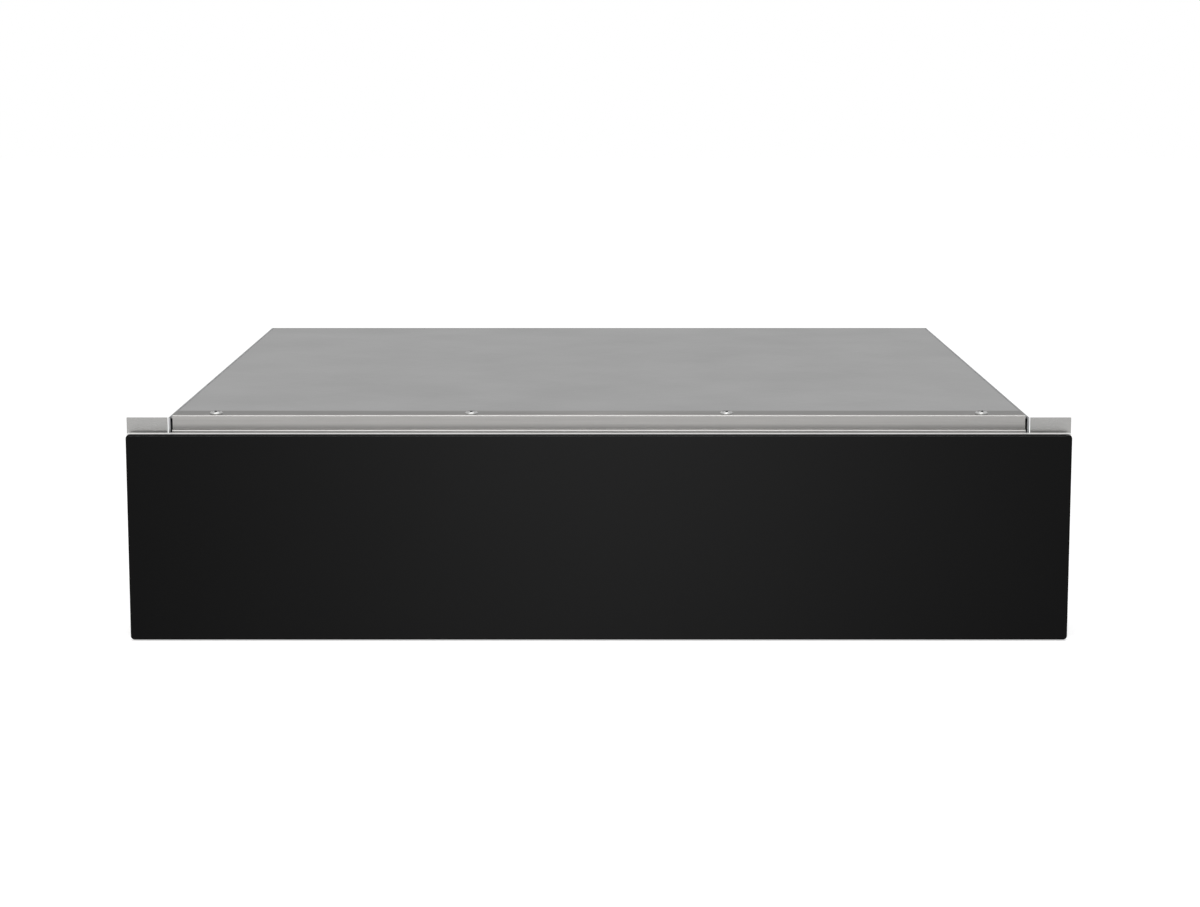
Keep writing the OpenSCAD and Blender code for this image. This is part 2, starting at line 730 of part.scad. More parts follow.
module control_fascia() color("#c2c1be") difference() {
  union() {
    block([-box_in + sheet_play, box_in - sheet_play], [box_front + box_t, control_back],
      [fascia_under, fascia_top]);
    block([-box_in + sheet_play, box_in - sheet_play], [control_back - box_t, control_back],
      [floor_top, fascia_top]);
  }
  z_bar(knob_x, control_mid, shaft_w + 2 * bush_hole_play, [fascia_under - cut, fascia_top + cut]);
  z_bar(lamp_x, control_mid, lamp_w + 2 * sheet_play, [fascia_under - cut, fascia_top + cut]);
  block([rocker_x - rocker_len / 2 - bezel, rocker_x + rocker_len / 2 + bezel],
    [control_mid - rocker_w / 2 - bezel, control_mid + rocker_w / 2 + bezel],
    [fascia_under - cut, fascia_top + cut]);
}

thermostat_h = 26;
thermostat_corner_r = 3;
bush_wall = 1.7;
bush_w = shaft_w + 2 * bush_wall;
thermostat_floor = 4;
shaft_end_air = 1;
shaft_bottom = fascia_under - thermostat_h + thermostat_floor + shaft_end_air;

module thermostat() color("#d9d6cc") difference() {
  union() {
    translate([knob_x, at(control_mid), fascia_under - thermostat_h])
      linear_extrude(thermostat_h) rounded_rect(thermostat_w, thermostat_w, thermostat_corner_r);
    z_bar(knob_x, control_mid, bush_w, [fascia_under, fascia_under + box_t]);
  }
  z_bar(knob_x, control_mid, shaft_w + 2 * shaft_play, [shaft_bottom - shaft_end_air, fascia_top + cut]);
}

knob_ridge_w = 5;
knob_skirt_h = 3;
knob_skirt_reach = 3;
knob_ridge_rise = 2;
knob_ridge_inset = 2;

// The knob and its shaft; the pointer ridge lies towards the user at 0.
module thermostat_knob() color("#262626") {
  low = fascia_top + knob_air;
  mid = low + knob_skirt_h;
  z_bar(knob_x, control_mid, knob_w, [low, mid]);
  z_bar(knob_x, control_mid, knob_w - 2 * knob_skirt_reach, [mid, low + knob_h - knob_ridge_rise]);
  translate([knob_x - knob_ridge_w / 2, at(control_mid) - knob_w / 2 + knob_ridge_inset, mid])
    cube([knob_ridge_w, knob_w - 2 * knob_ridge_inset, knob_h - knob_skirt_h]);
  z_bar(knob_x, control_mid, shaft_w, [shaft_bottom, low]);
}

rocker_pivot_drop = 3;
rocker_pivot = fascia_top - rocker_pivot_drop;
rocker_pin_w = 2.4;
rocker_pin_reach = 0.9;
rocker_pin_play = 0.2;
rocker_half = rocker_len / 2;
rocker_end_air = 0.5;
rocker_tip = 4.2;
rocker_base = 1.6;
rocker_draft = 0.3;
switch_wall = 1.6;
switch_h = 20;
switch_rim_w = 1.2;
switch_rim_h = 1;

module switch_body() color("#2b2b2b") difference() {
  union() {
    block([rocker_x - rocker_half - switch_wall, rocker_x + rocker_half + switch_wall],
      [control_mid - rocker_w / 2 - switch_wall, control_mid + rocker_w / 2 + switch_wall],
      [fascia_top - switch_h, fascia_top]);
    block([rocker_x - rocker_half - bezel - switch_rim_w, rocker_x + rocker_half + bezel + switch_rim_w],
      [control_mid - rocker_w / 2 - bezel - switch_rim_w, control_mid + rocker_w / 2 + bezel + switch_rim_w],
      [fascia_top, fascia_top + switch_rim_h]);
  }
  block([rocker_x - rocker_half, rocker_x + rocker_half],
    [control_mid - rocker_w / 2, control_mid + rocker_w / 2],
    [rocker_pivot - rocker_half, fascia_top + switch_rim_h + cut]);
  pocket = rocker_w / 2 + rocker_pin_reach + rocker_pin_play;
  y_bar(rocker_x, rocker_pivot, rocker_pin_w + 2 * shaft_play, [control_mid - pocket, control_mid + pocket]);
}

// The rocker, tilted to its off side at rest.
module switch_rocker() color("#181818") {
  half = rocker_half - rocker_end_air;
  end = half - rocker_draft;
  width = rocker_w - 2 * rocker_end_air;
  high = rocker_tip + half * tan(rocker_tilt);
  pin_half = rocker_w / 2 + rocker_pin_reach;
  translate([rocker_x, at(control_mid), rocker_pivot]) rotate([0, rocker_tilt, 0]) {
    translate([0, width / 2, 0]) rotate([90, 0, 0]) linear_extrude(width)
      polygon([[-end, high], [0, rocker_tip], [end, high], [end, -rocker_base], [-end, -rocker_base]]);
    translate([0, pin_half, 0]) rotate([90, 0, 0]) cylinder(d = rocker_pin_w, h = 2 * pin_half);
  }
}

lamp_h = 12;
lamp_rim_w = 1.5;
lamp_rim_h = 0.8;
lens_sink = 1.6;

module pilot_lamp() color("#d8862a") {
  lens_r = lamp_w / 2;
  z_bar(lamp_x, control_mid, lamp_w, [fascia_top - lamp_h, fascia_top]);
  z_bar(lamp_x, control_mid, lamp_w + 2 * lamp_rim_w, [fascia_top, fascia_top + lamp_rim_h]);
  translate([lamp_x, at(control_mid), fascia_top + lamp_rim_h]) intersection() {
    translate([0, 0, -lens_sink]) sphere(lens_r);
    cylinder(r = lens_r, h = lens_r);
  }
}

// ---------- heater and fan ----------

rod_setback = 16;
baffle_setback = 34;
fan_air = 2.5;
rod_at = guard_at + rod_setback;
baffle_at = guard_at + baffle_setback;
fan_at = baffle_at + box_t + fan_air;
guard_slot_low = 9;
guard_slot_high = 12;
rod_tail = 6;
rod_pin = 8;
hook_w = 5;
hook_inset = 30;
baffle_air = 1;
fan_eye_share = 0.8;

// A slotted guard across the drawer, with a top that closes the heater bay.
module rear_guard() color("#c2c1be") difference() {
  x_half = box_in - sheet_play;
  slot_low = floor_top + guard_slot_low;
  slot_high = box_top - guard_slot_high;
  union() {
    block([-x_half, x_half], [guard_at, guard_at + box_t], [floor_top, box_top]);
    block([-x_half, x_half], [guard_at + box_t, box_back - box_t], [box_top - box_t, box_top]);
  }
  for (x = [-x_half + 2 * guard_pitch:guard_pitch:x_half - 2 * guard_pitch])
    block([x - guard_slot_w / 2, x + guard_slot_w / 2], [guard_at - cut, guard_at + box_t + cut],
      [slot_low, slot_high]);
}

// A rod that runs across, turns back, and leaves through the rear wall at its left end.
module heating_element() color("#6e6a66") {
  end = box_back + rod_tail;
  for (z = rod_places) {
    x_bar(rod_at, z, rod_w, [-rod_run / 2, rod_run / 2]);
    translate([-rod_run / 2, at(rod_at + rod_bend_r), z]) rotate(180) bar_turn(rod_bend_r, rod_w);
    y_bar(rod_leg_x, z, rod_w, [rod_at + rod_bend_r, end]);
    y_bar(rod_leg_x, z, rod_w / 2, [end, end + rod_pin]);
  }
  translate([rod_run / 2, at(rod_at), box_mid]) rotate([90, 0, 0]) rotate(-90)
    bar_turn(rod_rise / 2, rod_w, 180);
}

module fan_baffle() color("#b9bbbc") {
  plate_low = floor_top + baffle_air;
  plate_high = box_top - box_t - baffle_air;
  difference() {
    block([-baffle_half_w, baffle_half_w], [baffle_at, baffle_at + box_t], [plate_low, plate_high]);
    y_bar(0, box_mid, fan_w * fan_eye_share, [baffle_at - cut, baffle_at + box_t + cut]);
  }
  both_sides() block([baffle_half_w - box_t, baffle_half_w], [baffle_at + box_t, box_back - box_t],
    [plate_low, plate_high]);
  both_sides() for (z = rod_places)
    block([baffle_half_w - hook_inset, baffle_half_w - hook_inset + hook_w],
      [rod_at + rod_w / 2 + slide_play, baffle_at], [z - hook_w / 2, z + hook_w / 2]);
}

hub_w = 16;
hub_setback = 4;
fan_disc_t = 1.2;
blade_t = 1;
blade_angle = 35;
blade_in_share = 0.36;
blade_len_share = 0.14;
motor_shaft_air = 4;

module fan_impeller() color("#9aa0a4") {
  y_bar(0, box_mid, fan_w, [fan_at + fan_d - fan_disc_t, fan_at + fan_d]);
  y_bar(0, box_mid, hub_w, [fan_at + hub_setback, fan_at + fan_d]);
  for (i = [0:blades_n - 1])
    translate([0, at(fan_at), box_mid]) rotate([0, i * 360 / blades_n, 0])
      translate([fan_w * blade_in_share, 0, 0]) rotate([0, blade_angle, 0])
        cube([fan_w * blade_len_share, fan_d - fan_disc_t / 2, blade_t]);
  y_bar(0, box_mid, motor_shaft_w, [fan_at + fan_d, box_back + motor_d - motor_shaft_air]);
}

post_w = 6;
post_len = 9;
post_inset = 5;
stack_t = 16;
stack_drop = 4;
bearing_w = 22;
bearing_setback = 5;
motor_cap_t = 3;

// The motor: a block of laminations on four posts, with the bearing caps round its shaft.
module fan_motor() color("#7d8084") difference() {
  stack_h = motor_w / 2 - stack_drop;
  union() {
    block([-motor_w / 2, motor_w / 2], [box_back + post_len, box_back + post_len + stack_t],
      [box_mid - stack_h, box_mid + stack_h]);
    both_sides() for (s = [-1, 1])
      y_bar(motor_w / 2 - post_inset, box_mid + s * (stack_h - post_inset), post_w,
        [box_back, box_back + post_len]);
    y_bar(0, box_mid, bearing_w, [box_back + bearing_setback, box_back + motor_d]);
  }
  y_bar(0, box_mid, motor_shaft_w + 2 * shaft_play, [box_back, box_back + motor_d - motor_cap_t]);
}

cutout_gap = 34;
cutout_w = 16;
cutout_h = 6;
cutout_plate_w = 24;
cutout_plate_t = 1.2;

module thermal_cutout() color("#3b3431") {
  x = baffle_half_w + cutout_gap;
  wall = box_back - box_t;
  y_bar(x, box_mid, cutout_w, [wall - cutout_h, wall]);
  y_bar(x, box_mid, cutout_plate_w, [wall - cutout_plate_t, wall]);
}

// ---------- wiring ----------

wiring_turn_r = 9;
wiring_top_drop = 34;

// From the controls down through the floor, back under it, and out through the rear wall.
module drawer_wiring() color("#33302e") {
  z_bar(wiring_x, wiring_at, wire_w, [wiring_z + wiring_turn_r, fascia_under - wiring_top_drop]);
  translate([wiring_x, at(wiring_at + wiring_turn_r), wiring_z + wiring_turn_r]) rotate([0, -90, 0])
    rotate(180) bar_turn(wiring_turn_r, wire_w);
  y_bar(wiring_x, wiring_z, wire_w, [wiring_at + wiring_turn_r, lead_start]);
}

wiring_tail = 6;
lead_stub = 6;
lead_setback = 26;
lead_slant = 12;
coil_gaps = [14, 26];  // from the terminal cover and from the wiring
terminal_half = 24;
terminal_h = 30;
lead_knuckle_share = 1.08;
lead_knuckle_w = wire_w * lead_knuckle_share;
lead_start = box_back + wiring_tail;
lead_at = box_back + lead_setback;
lead_z = base_top + curl_w / 2 + slide_play;
lead_end_x = -inlet_x + terminal_half;

// A straight piece of lead between two points, with a round knuckle at its first one.
module lead_link(a, b) {
  run = b - a;
  translate([a[0], front_y + a[1], a[2]]) {
    rotate([0, acos(run[2] / norm(run)), atan2(run[1], run[0])]) cylinder(d = wire_w, h = norm(run));
    sphere(d = lead_knuckle_w);
  }
}

// The curly lead that follows the drawer, lying across the back of the case.
module trailing_lead() color("#33302e") {
  stub_end = lead_start + lead_stub;
  turn_x = wiring_x - lead_slant;
  y_bar(wiring_x, wiring_z, wire_w, [lead_start, stub_end]);
  lead_link([turn_x, lead_at, lead_z], [wiring_x, stub_end, wiring_z]);
  translate([wiring_x, at(stub_end), wiring_z]) sphere(d = lead_knuckle_w);
  x_bar(lead_at, lead_z, wire_w, [lead_end_x, turn_x]);
  x_bar(lead_at, lead_z, curl_w, [lead_end_x + coil_gaps[0], wiring_x - coil_gaps[1]]);
}

// ---------- terminal box, inlet and latches ----------

terminal_gap = 8;
terminal_wall = 1.5;
terminal_front = box_back + terminal_gap;
block_setback = 10;
block_half_w = 15;
block_d = 14;
block_h = 16;
clamp_pitch = 9;
clamp_w = 4;
clamp_rise = 7;
clamp_screw_w = 3.4;

module terminal_block() color("#ece9df") difference() {
  d = [terminal_front + block_setback, terminal_front + block_setback + block_d];
  block([-inlet_x - block_half_w, -inlet_x + block_half_w], d, [base_top, base_top + block_h]);
  for (i = [-1, 0, 1]) {
    y_bar(-inlet_x + i * clamp_pitch, base_top + clamp_rise, clamp_w, [d[0] - cut, d[1] + cut]);
    z_bar(-inlet_x + i * clamp_pitch, (d[0] + d[1]) / 2, clamp_screw_w,
      [base_top + clamp_rise + clamp_w / 2, base_top + block_h + cut]);
  }
}

module terminal_cover() color("#e4e1d8") {
  wall = terminal_wall;
  x = [-inlet_x - terminal_half, -inlet_x + terminal_half];
  difference() {
    block(x, [terminal_front, rear_at], [base_top, base_top + terminal_h]);
    block([x[0] + wall, x[1] - wall], [terminal_front + wall, rear_at - wall],
      [base_top - cut, base_top + terminal_h - wall]);
    y_bar(-inlet_x, base_top + inlet_rise, gland_body_w + 2 * sheet_play,
      [rear_at - wall - cut, rear_at + cut]);
    x_bar(lead_at, lead_z, wire_w + wire_play, [x[1] - wall - cut, x[1] + cut]);
  }
}

gland_len = 8;

module cable_gland() color("#1d1d1d") difference() {
  union() {
    y_bar(-inlet_x, base_top + inlet_rise, gland_body_w, [rear_at - gland_len, rear_at + rear_t]);
    y_bar(-inlet_x, base_top + inlet_rise, gland_head_w, [rear_at + rear_t, total_d]);
  }
  y_bar(-inlet_x, base_top + inlet_rise, cable_w, [rear_at - gland_len - cut, total_d + cut]);
}

striker_w = 14;
striker_t = 2;
plunger_reach = 4;
latch_front = box_back + striker_t + latch_gap + plunger_reach;
latch_stem = 26;
latch_stem_air = 5;
latch_foot_t = 2.5;
latch_foot_h = 14;

// The right touch latch, on the rear panel.
module latch_body() color("#dcdcda") difference() {
  union() {
    block([latch_x - latch_w / 2, latch_x + latch_w / 2], [latch_front, rear_at],
      [box_mid - latch_w / 2, box_mid + latch_w / 2]);
    block([latch_x - latch_w / 2, latch_x + latch_w / 2], [rear_at - latch_foot_t, rear_at],
      [box_mid - latch_w / 2 - latch_foot_h, box_mid + latch_w / 2]);
  }
  y_bar(latch_x, box_mid, plunger_w + 2 * shaft_play,
    [latch_front - cut, latch_front + latch_stem + latch_stem_air]);
  y_bar(latch_x, box_mid - latch_w, latch_fix_w, [rear_at - latch_foot_t - cut, rear_at + cut]);
}

module latch_plunger() color("#3c3c3c") {
  y_bar(latch_x, box_mid, plunger_w, [latch_front - plunger_reach, latch_front + latch_stem]);
}

module striker_plates() color("#c9c9c6") both_sides() {
  block([latch_x - striker_w / 2, latch_x + striker_w / 2], [box_back, box_back + striker_t],
    [box_mid - striker_w / 2, box_mid + striker_w / 2]);
}

// ---------- the pieces ----------

base_pan();
left_of() side_panel();  // left_side_panel
side_panel();  // right_side_panel
rear_panel();
top_cover();
front_rail();
rail_screws();
left_of() flange();  // left_flange
flange();  // right_flange
flange_rivets();
lower_sill();
feet();
case_screws();
left_of() slide_outer();  // left_slide_outer
slide_outer();  // right_slide_outer
slide_screws();
left_of() latch_body();  // left_latch_body
latch_body();  // right_latch_body
terminal_block();
terminal_cover();
cable_gland();
front_facing();
front_carrier();
front_insulation();
front_screws();
front_buffers();
drawer_floor();
left_of() drawer_wall();  // drawer_left_wall
drawer_wall();  // drawer_right_wall
drawer_front_wall();
drawer_rear_wall();
anti_slip_mat();
control_fascia();
thermostat();
switch_body();
pilot_lamp();
heating_element();
fan_baffle();
rear_guard();
fan_motor();
thermal_cutout();
drawer_wiring();
left_of() slide_inner();  // left_slide_inner
slide_inner();  // right_slide_inner
slide_rivets();
striker_plates();
left_of() slide_middle();  // left_slide_middle
slide_middle();  // right_slide_middle
left_of() outer_cage();  // left_outer_cage
outer_cage();  // right_outer_cage
left_of() inner_cage();  // left_inner_cage
inner_cage();  // right_inner_cage
thermostat_knob();
switch_rocker();
fan_impeller();
left_of() latch_plunger();  // left_latch_plunger
latch_plunger();  // right_latch_plunger
trailing_lead();
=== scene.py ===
import json
import math

import bmesh
import bpy
from mathutils import Matrix, Vector


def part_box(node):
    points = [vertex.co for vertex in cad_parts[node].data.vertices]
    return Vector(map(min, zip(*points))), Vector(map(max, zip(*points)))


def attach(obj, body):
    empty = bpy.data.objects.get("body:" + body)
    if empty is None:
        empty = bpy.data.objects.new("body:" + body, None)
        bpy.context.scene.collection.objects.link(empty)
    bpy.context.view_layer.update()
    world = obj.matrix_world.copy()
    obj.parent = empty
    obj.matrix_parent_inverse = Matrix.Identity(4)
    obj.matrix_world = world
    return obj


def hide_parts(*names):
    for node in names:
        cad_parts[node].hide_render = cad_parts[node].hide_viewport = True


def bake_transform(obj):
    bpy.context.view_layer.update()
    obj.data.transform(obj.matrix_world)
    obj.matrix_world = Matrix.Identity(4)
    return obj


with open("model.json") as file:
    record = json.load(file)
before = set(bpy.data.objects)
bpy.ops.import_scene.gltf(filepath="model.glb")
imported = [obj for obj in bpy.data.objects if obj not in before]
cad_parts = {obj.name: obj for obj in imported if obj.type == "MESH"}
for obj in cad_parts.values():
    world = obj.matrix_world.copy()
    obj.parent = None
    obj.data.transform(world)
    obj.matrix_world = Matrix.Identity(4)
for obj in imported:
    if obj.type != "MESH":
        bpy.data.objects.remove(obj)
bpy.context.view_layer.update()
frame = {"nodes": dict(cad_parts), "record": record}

# A built-in warming drawer, closed, as seen from the front and a little above.
# Lengths are in metres, in the CAD model's frame: +Z up, the front faces -Y.

MM = 0.001
X_AXIS, Y_AXIS, Z_AXIS = Vector((1, 0, 0)), Vector((0, 1, 0)), Vector((0, 0, 1))
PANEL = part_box("control_fascia")[1].z            # the height of the control panel's face
REAR_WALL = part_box("drawer_rear_wall")[1].y      # the outside of the drawer's rear wall


def scene_object(name, data):
    made = bpy.data.objects.new(name, data)
    bpy.context.scene.collection.objects.link(made)
    return made


def middle_of(node, height=0.0):
    """The middle of a node's box seen from above, at a height."""
    low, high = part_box(node)
    return Vector(((low.x + high.x) / 2, (low.y + high.y) / 2, height))


def mm(points, origin=(0, 0, 0)):
    """Points given in millimetres from an origin in metres."""
    return [tuple(start + value * MM for start, value in zip(origin, point)) for point in points]


# ---------- camera ----------

VIEW_PITCH = math.radians(8.68)      # how far the camera looks down
VIEW_DISTANCE = 1.6608               # from the camera to the plane of the front panel
VIEW_RISE = 0.2418                   # the camera above the front panel's top edge
VIEW_SIDE = 0.0007
VIEW_CLIP = (0.05, 50)
LENS_MM = 80.17
SENSOR_MM = 36.0


def make_camera():
    front_low, front_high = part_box("front_facing")
    data = bpy.data.cameras.new("camera")
    data.lens = LENS_MM
    data.sensor_width = SENSOR_MM
    data.sensor_fit = "HORIZONTAL"
    data.clip_start, data.clip_end = VIEW_CLIP
    camera = scene_object("camera", data)
    camera.location = (VIEW_SIDE, front_low.y - VIEW_DISTANCE, front_high.z + VIEW_RISE)
    camera.rotation_euler = (math.pi / 2 - VIEW_PITCH, 0, 0)
    bpy.context.scene.camera = camera


# ---------- material helpers ----------

def grey(value):
    return (value, value, value)


def shaded(colour, factor):
    return tuple(min(1.0, c * factor) for c in colour)


def add_node(tree, kind, inputs=(), **settings):
    """Adds a node: each input is given a value, or a link where the value is a socket."""
    made = tree.nodes.new(kind)
    for key, value in settings.items():
        setattr(made, key, value)
    for key, value in dict(inputs).items():
        if isinstance(value, bpy.types.NodeSocket):
            tree.links.new(value, made.inputs[key])
        else:
            made.inputs[key].default_value = value
    return made


def looked_at(tree):
    """1 for a ray from the camera, or one that gloss or glass has sent on, and 0 for any other."""
    path = tree.nodes.new("ShaderNodeLightPath").outputs
    seen = path["Is Camera Ray"]
    for kind in ("Is Glossy Ray", "Is Transmission Ray"):
        either = add_node(tree, "ShaderNodeMath", {0: seen, 1: path[kind]}, operation="MAXIMUM")
        seen = either.outputs[0]
    return seen


EVEN = (1, 1, 1)


class Finish:
    """A material of one Principled shader, varied by patterns in object coordinates."""

    def __init__(self, name, colour, roughness, metallic=0.0, specular=0.5, edge=1.0):
        self.material = bpy.data.materials.new(name)
        self.material.use_nodes = True
        self.tree = self.material.node_tree
        self.shader = self.tree.nodes["Principled BSDF"]
        self.place = self.node("ShaderNodeTexCoord").outputs["Object"]
        self.height = None
        self.material.diffuse_color = (*colour, 1)
        self.set("Base Color", (*colour, 1))
        self.set("Roughness", roughness)
        self.set("Metallic", metallic)
        self.set("Specular IOR Level", specular)
        self.set("Specular Tint", (edge, edge, edge, 1))

    def set(self, socket, value):
        self.shader.inputs[socket].default_value = value

    def drive(self, socket, output):
        self.tree.links.new(output, self.shader.inputs[socket])

    def node(self, kind, inputs=(), **settings):
        return add_node(self.tree, kind, inputs, **settings)

    def texture(self, kind, grain, stretch=EVEN, shift=0.0, **inputs):
        """A texture whose grain is a size in metres; stretch makes it longer along an axis."""
        scale = [1 / (grain * s) for s in stretch]
        place = self.node("ShaderNodeMapping", {
            "Vector": self.place, "Scale": scale, "Location": grey(shift)})
        return self.node(kind, {"Vector": place.outputs["Vector"], "Scale": 1.0, **inputs}).outputs

    def noise(self, grain, detail=3.0, stretch=EVEN, shift=0.0):
        return self.texture("ShaderNodeTexNoise", grain, stretch, shift, Detail=detail)["Fac"]

    def cells(self, grain):
        """Flat cells of a size in metres, each with a colour of its own."""
        return self.texture("ShaderNodeTexVoronoi", grain)["Color"]

    def spread(self, pattern, low, high, start=0.0, end=1.0):
        """Maps a pattern from start..end to low..high."""
        return self.node("ShaderNodeMapRange", {
            "Value": pattern, "From Min": start, "From Max": end,
            "To Min": low, "To Max": high}).outputs["Result"]

    def mix(self, factor, first, second):
        return self.node("ShaderNodeMix", {"Factor": factor, "A": first, "B": second},
                         data_type="FLOAT").outputs["Result"]

    def ramp(self, pattern, stops):
        """Turns a pattern into colours: stops are (place, colour) pairs."""
        made = self.node("ShaderNodeValToRGB", {"Fac": pattern})
        points = made.color_ramp.elements
        while len(points) < len(stops):
            points.new(1.0)
        for point, (place, colour) in zip(points, stops):
            point.position = place
            point.color = (*colour, 1)
        return made.outputs["Color"]

    def colours(self, pattern, stops):
        self.drive("Base Color", self.ramp(pattern, stops))

    def overlaid(self, pattern, colour):
        """Lays one more colour over the base colour where a pattern is 1."""
        below, above, result = 6, 7, 2       # the mix node's colour sockets
        mixed = self.node("ShaderNodeMix", {
            "Factor": pattern, below: self.shader.inputs["Base Color"].links[0].from_socket,
            above: (*colour, 1)}, data_type="RGBA")
        self.drive("Base Color", mixed.outputs[result])

    def rough(self, pattern, low, high, start=0.3, end=0.7):
        self.drive("Roughness", self.spread(pattern, low, high, start, end))

    def tangent_upright(self, amount=0.6):
        """Draws the gloss out up and down on upright faces, as brushing from side to side does."""
        tangent = self.node("ShaderNodeTangent", direction_type="RADIAL", axis="Z")
        self.drive("Tangent", tangent.outputs["Tangent"])
        self.set("Anisotropic", amount)
        self.set("Anisotropic Rotation", 0.25)

    def bump(self, pattern, depth, strength=1.0):
        """Bump of a depth in metres, laid over any bump made before."""
        made = self.node("ShaderNodeBump", {
            "Height": pattern, "Distance": depth, "Strength": strength})
        if self.height is not None:
            self.tree.links.new(self.height, made.inputs["Normal"])
        self.height = made.outputs["Normal"]
        self.drive("Normal", self.height)


# ---------- materials ----------

def mottled(name, colour, roughness, pattern, tones, gloss, tooth=None, fine=None, **finish):
    """A finish whose colour follows one noise, and its gloss and tooth that or a finer one.

    A noise is a grain, a detail, a stretch and a shift. Tones are (place, factor) pairs. The
    gloss is how far the roughness goes down and up; the tooth is a bump's depth and strength."""
    made = Finish(name, colour, roughness, **finish)
    mottle = made.noise(*pattern)
    made.colours(mottle, [(place, shaded(colour, factor)) for place, factor in tones])
    grain = made.noise(*fine) if fine else mottle
    made.rough(grain, roughness - gloss[0], roughness + gloss[1])
    if tooth:
        made.bump(grain, *tooth)
    return made.material


def sheet_metal(name, colour, roughness, shift=0.0, edge=0.6, metallic=1.0):
    """Rolled sheet: soft clouds and a fine roll grain along its length."""
    return mottled(name, colour, roughness, (60 * MM, 2, EVEN, shift), [(0.25, 0.94), (0.75, 1.05)],
                   (0.05, 0.06), (0.015 * MM, 0.4), (0.5 * MM, 2, (24, 1, 1), shift),
                   metallic=metallic, edge=edge)


SPANGLE = 9 * MM


def galvanised_sheet():
    """Hot-dip zinc: a spangle of flat crystals, lighter and duller, under soft clouds."""
    colour = (0.36, 0.365, 0.37)
    made = Finish("galvanised_steel", colour, 0.38, metallic=1.0, edge=0.6)
    crystals = made.node("ShaderNodeSeparateColor", {"Color": made.cells(SPANGLE)}).outputs
    mixed = made.mix(0.55, made.noise(70 * MM, 3), crystals["Red"])
    made.colours(mixed, [
        (0.20, shaded(colour, 0.80)), (0.50, colour), (0.80, shaded(colour, 1.16))])
    made.rough(crystals["Green"], 0.28, 0.50, 0.0, 1.0)
    made.bump(crystals["Blue"], 0.01 * MM, 0.35)
    return made.material


STREAK = (90, 1, 1)      # how much longer than wide a brushed streak is, from side to side
PAINTED_FOLD_SHADE = 0.56        # how dark the painted shade makes the rail's face right above its ledge
# how far up the rail's face the painted shade reaches
PAINTED_SHADE_REACH = 3.6 * MM
LIP_DEPTH = 1 * MM


def rail_fold():
    """The height of the fold between the rail's face and its ledge, which is the ledge's top."""
    rail = frame["nodes"]["front_rail"].data
    front = min(v.co.y for v in rail.vertices)
    return max(v.co.z for v in rail.vertices if v.co.y < front + LIP_DEPTH)


def brushed_steel(name, colour, roughness, shift=0.0, fold=None):
    """Stainless sheet brushed from side to side: long fine streaks in colour, gloss and height.

    Just above a fold at a height, shade is painted into the colour: darkest right above the fold,
    fading out upwards."""
    made = Finish(name, colour, roughness, metallic=1.0, edge=0.5)
    made.tangent_upright()
    fine = made.noise(0.28 * MM, 2, STREAK, shift)
    streaks = made.mix(0.45, fine, made.noise(2.2 * MM, 3, STREAK, shift + 3))
    made.colours(streaks, [(0.30, shaded(colour, 0.91)), (0.70, shaded(colour, 1.07))])
    # Painted shade: the colour is darkened just above the fold, where the ledge and the front shade
    # the face.
    if fold is not None:
        height = made.node("ShaderNodeSeparateXYZ", {"Vector": made.place}).outputs["Z"]
        above = made.spread(height, 0.0, 1.0, fold, fold + PAINTED_SHADE_REACH)
        shade = made.ramp(above, [(0.0, grey(0.0)), (0.05, grey(1.0)), (1.0, grey(0.0))])
        made.overlaid(shade, shaded(colour, PAINTED_FOLD_SHADE))
    made.rough(streaks, roughness - 0.07, roughness + 0.09)
    made.bump(fine, 0.02 * MM, 0.5)
    return made.material


def plated_steel(name, colour, roughness):
    """Zinc-plated or plain small parts: bright with faint mottling."""
    made = Finish(name, colour, roughness, metallic=1.0)
    mottle = made.noise(3 * MM, 4)
    made.colours(mottle, [(0.3, shaded(colour, 0.86)), (0.7, shaded(colour, 1.06))])
    made.rough(mottle, roughness - 0.05, roughness + 0.10)
    made.bump(made.noise(0.4 * MM, 2), 0.01 * MM, 0.5)
    return made.material


def heater_sheath():
    """A steel sheath that heat has tinted in straw and brown along its run."""
    made = Finish("heater_sheath", (0.22, 0.19, 0.17), 0.4, metallic=1.0)
    tint = made.noise(35 * MM, 2, stretch=(2.5, 1, 1))
    made.colours(tint, [(0.30, (0.12, 0.10, 0.095)), (0.48, (0.24, 0.20, 0.17)),
                        (0.60, (0.30, 0.21, 0.12)), (0.72, (0.20, 0.17, 0.17))])
    made.rough(made.noise(1.2 * MM, 3), 0.32, 0.52)
    return made.material


FACING_BLACK = (0.0009, 0.0009, 0.00093)
# Painted highlight: the facing's top and bottom edges are painted greyer than its face.
FACING_EDGE_HIGHLIGHT = (0.050, 0.050, 0.051)
HIGHLIGHT_TILT = (0.6, 0.95)      # the normal's upward share where the painted edge highlight starts and is full


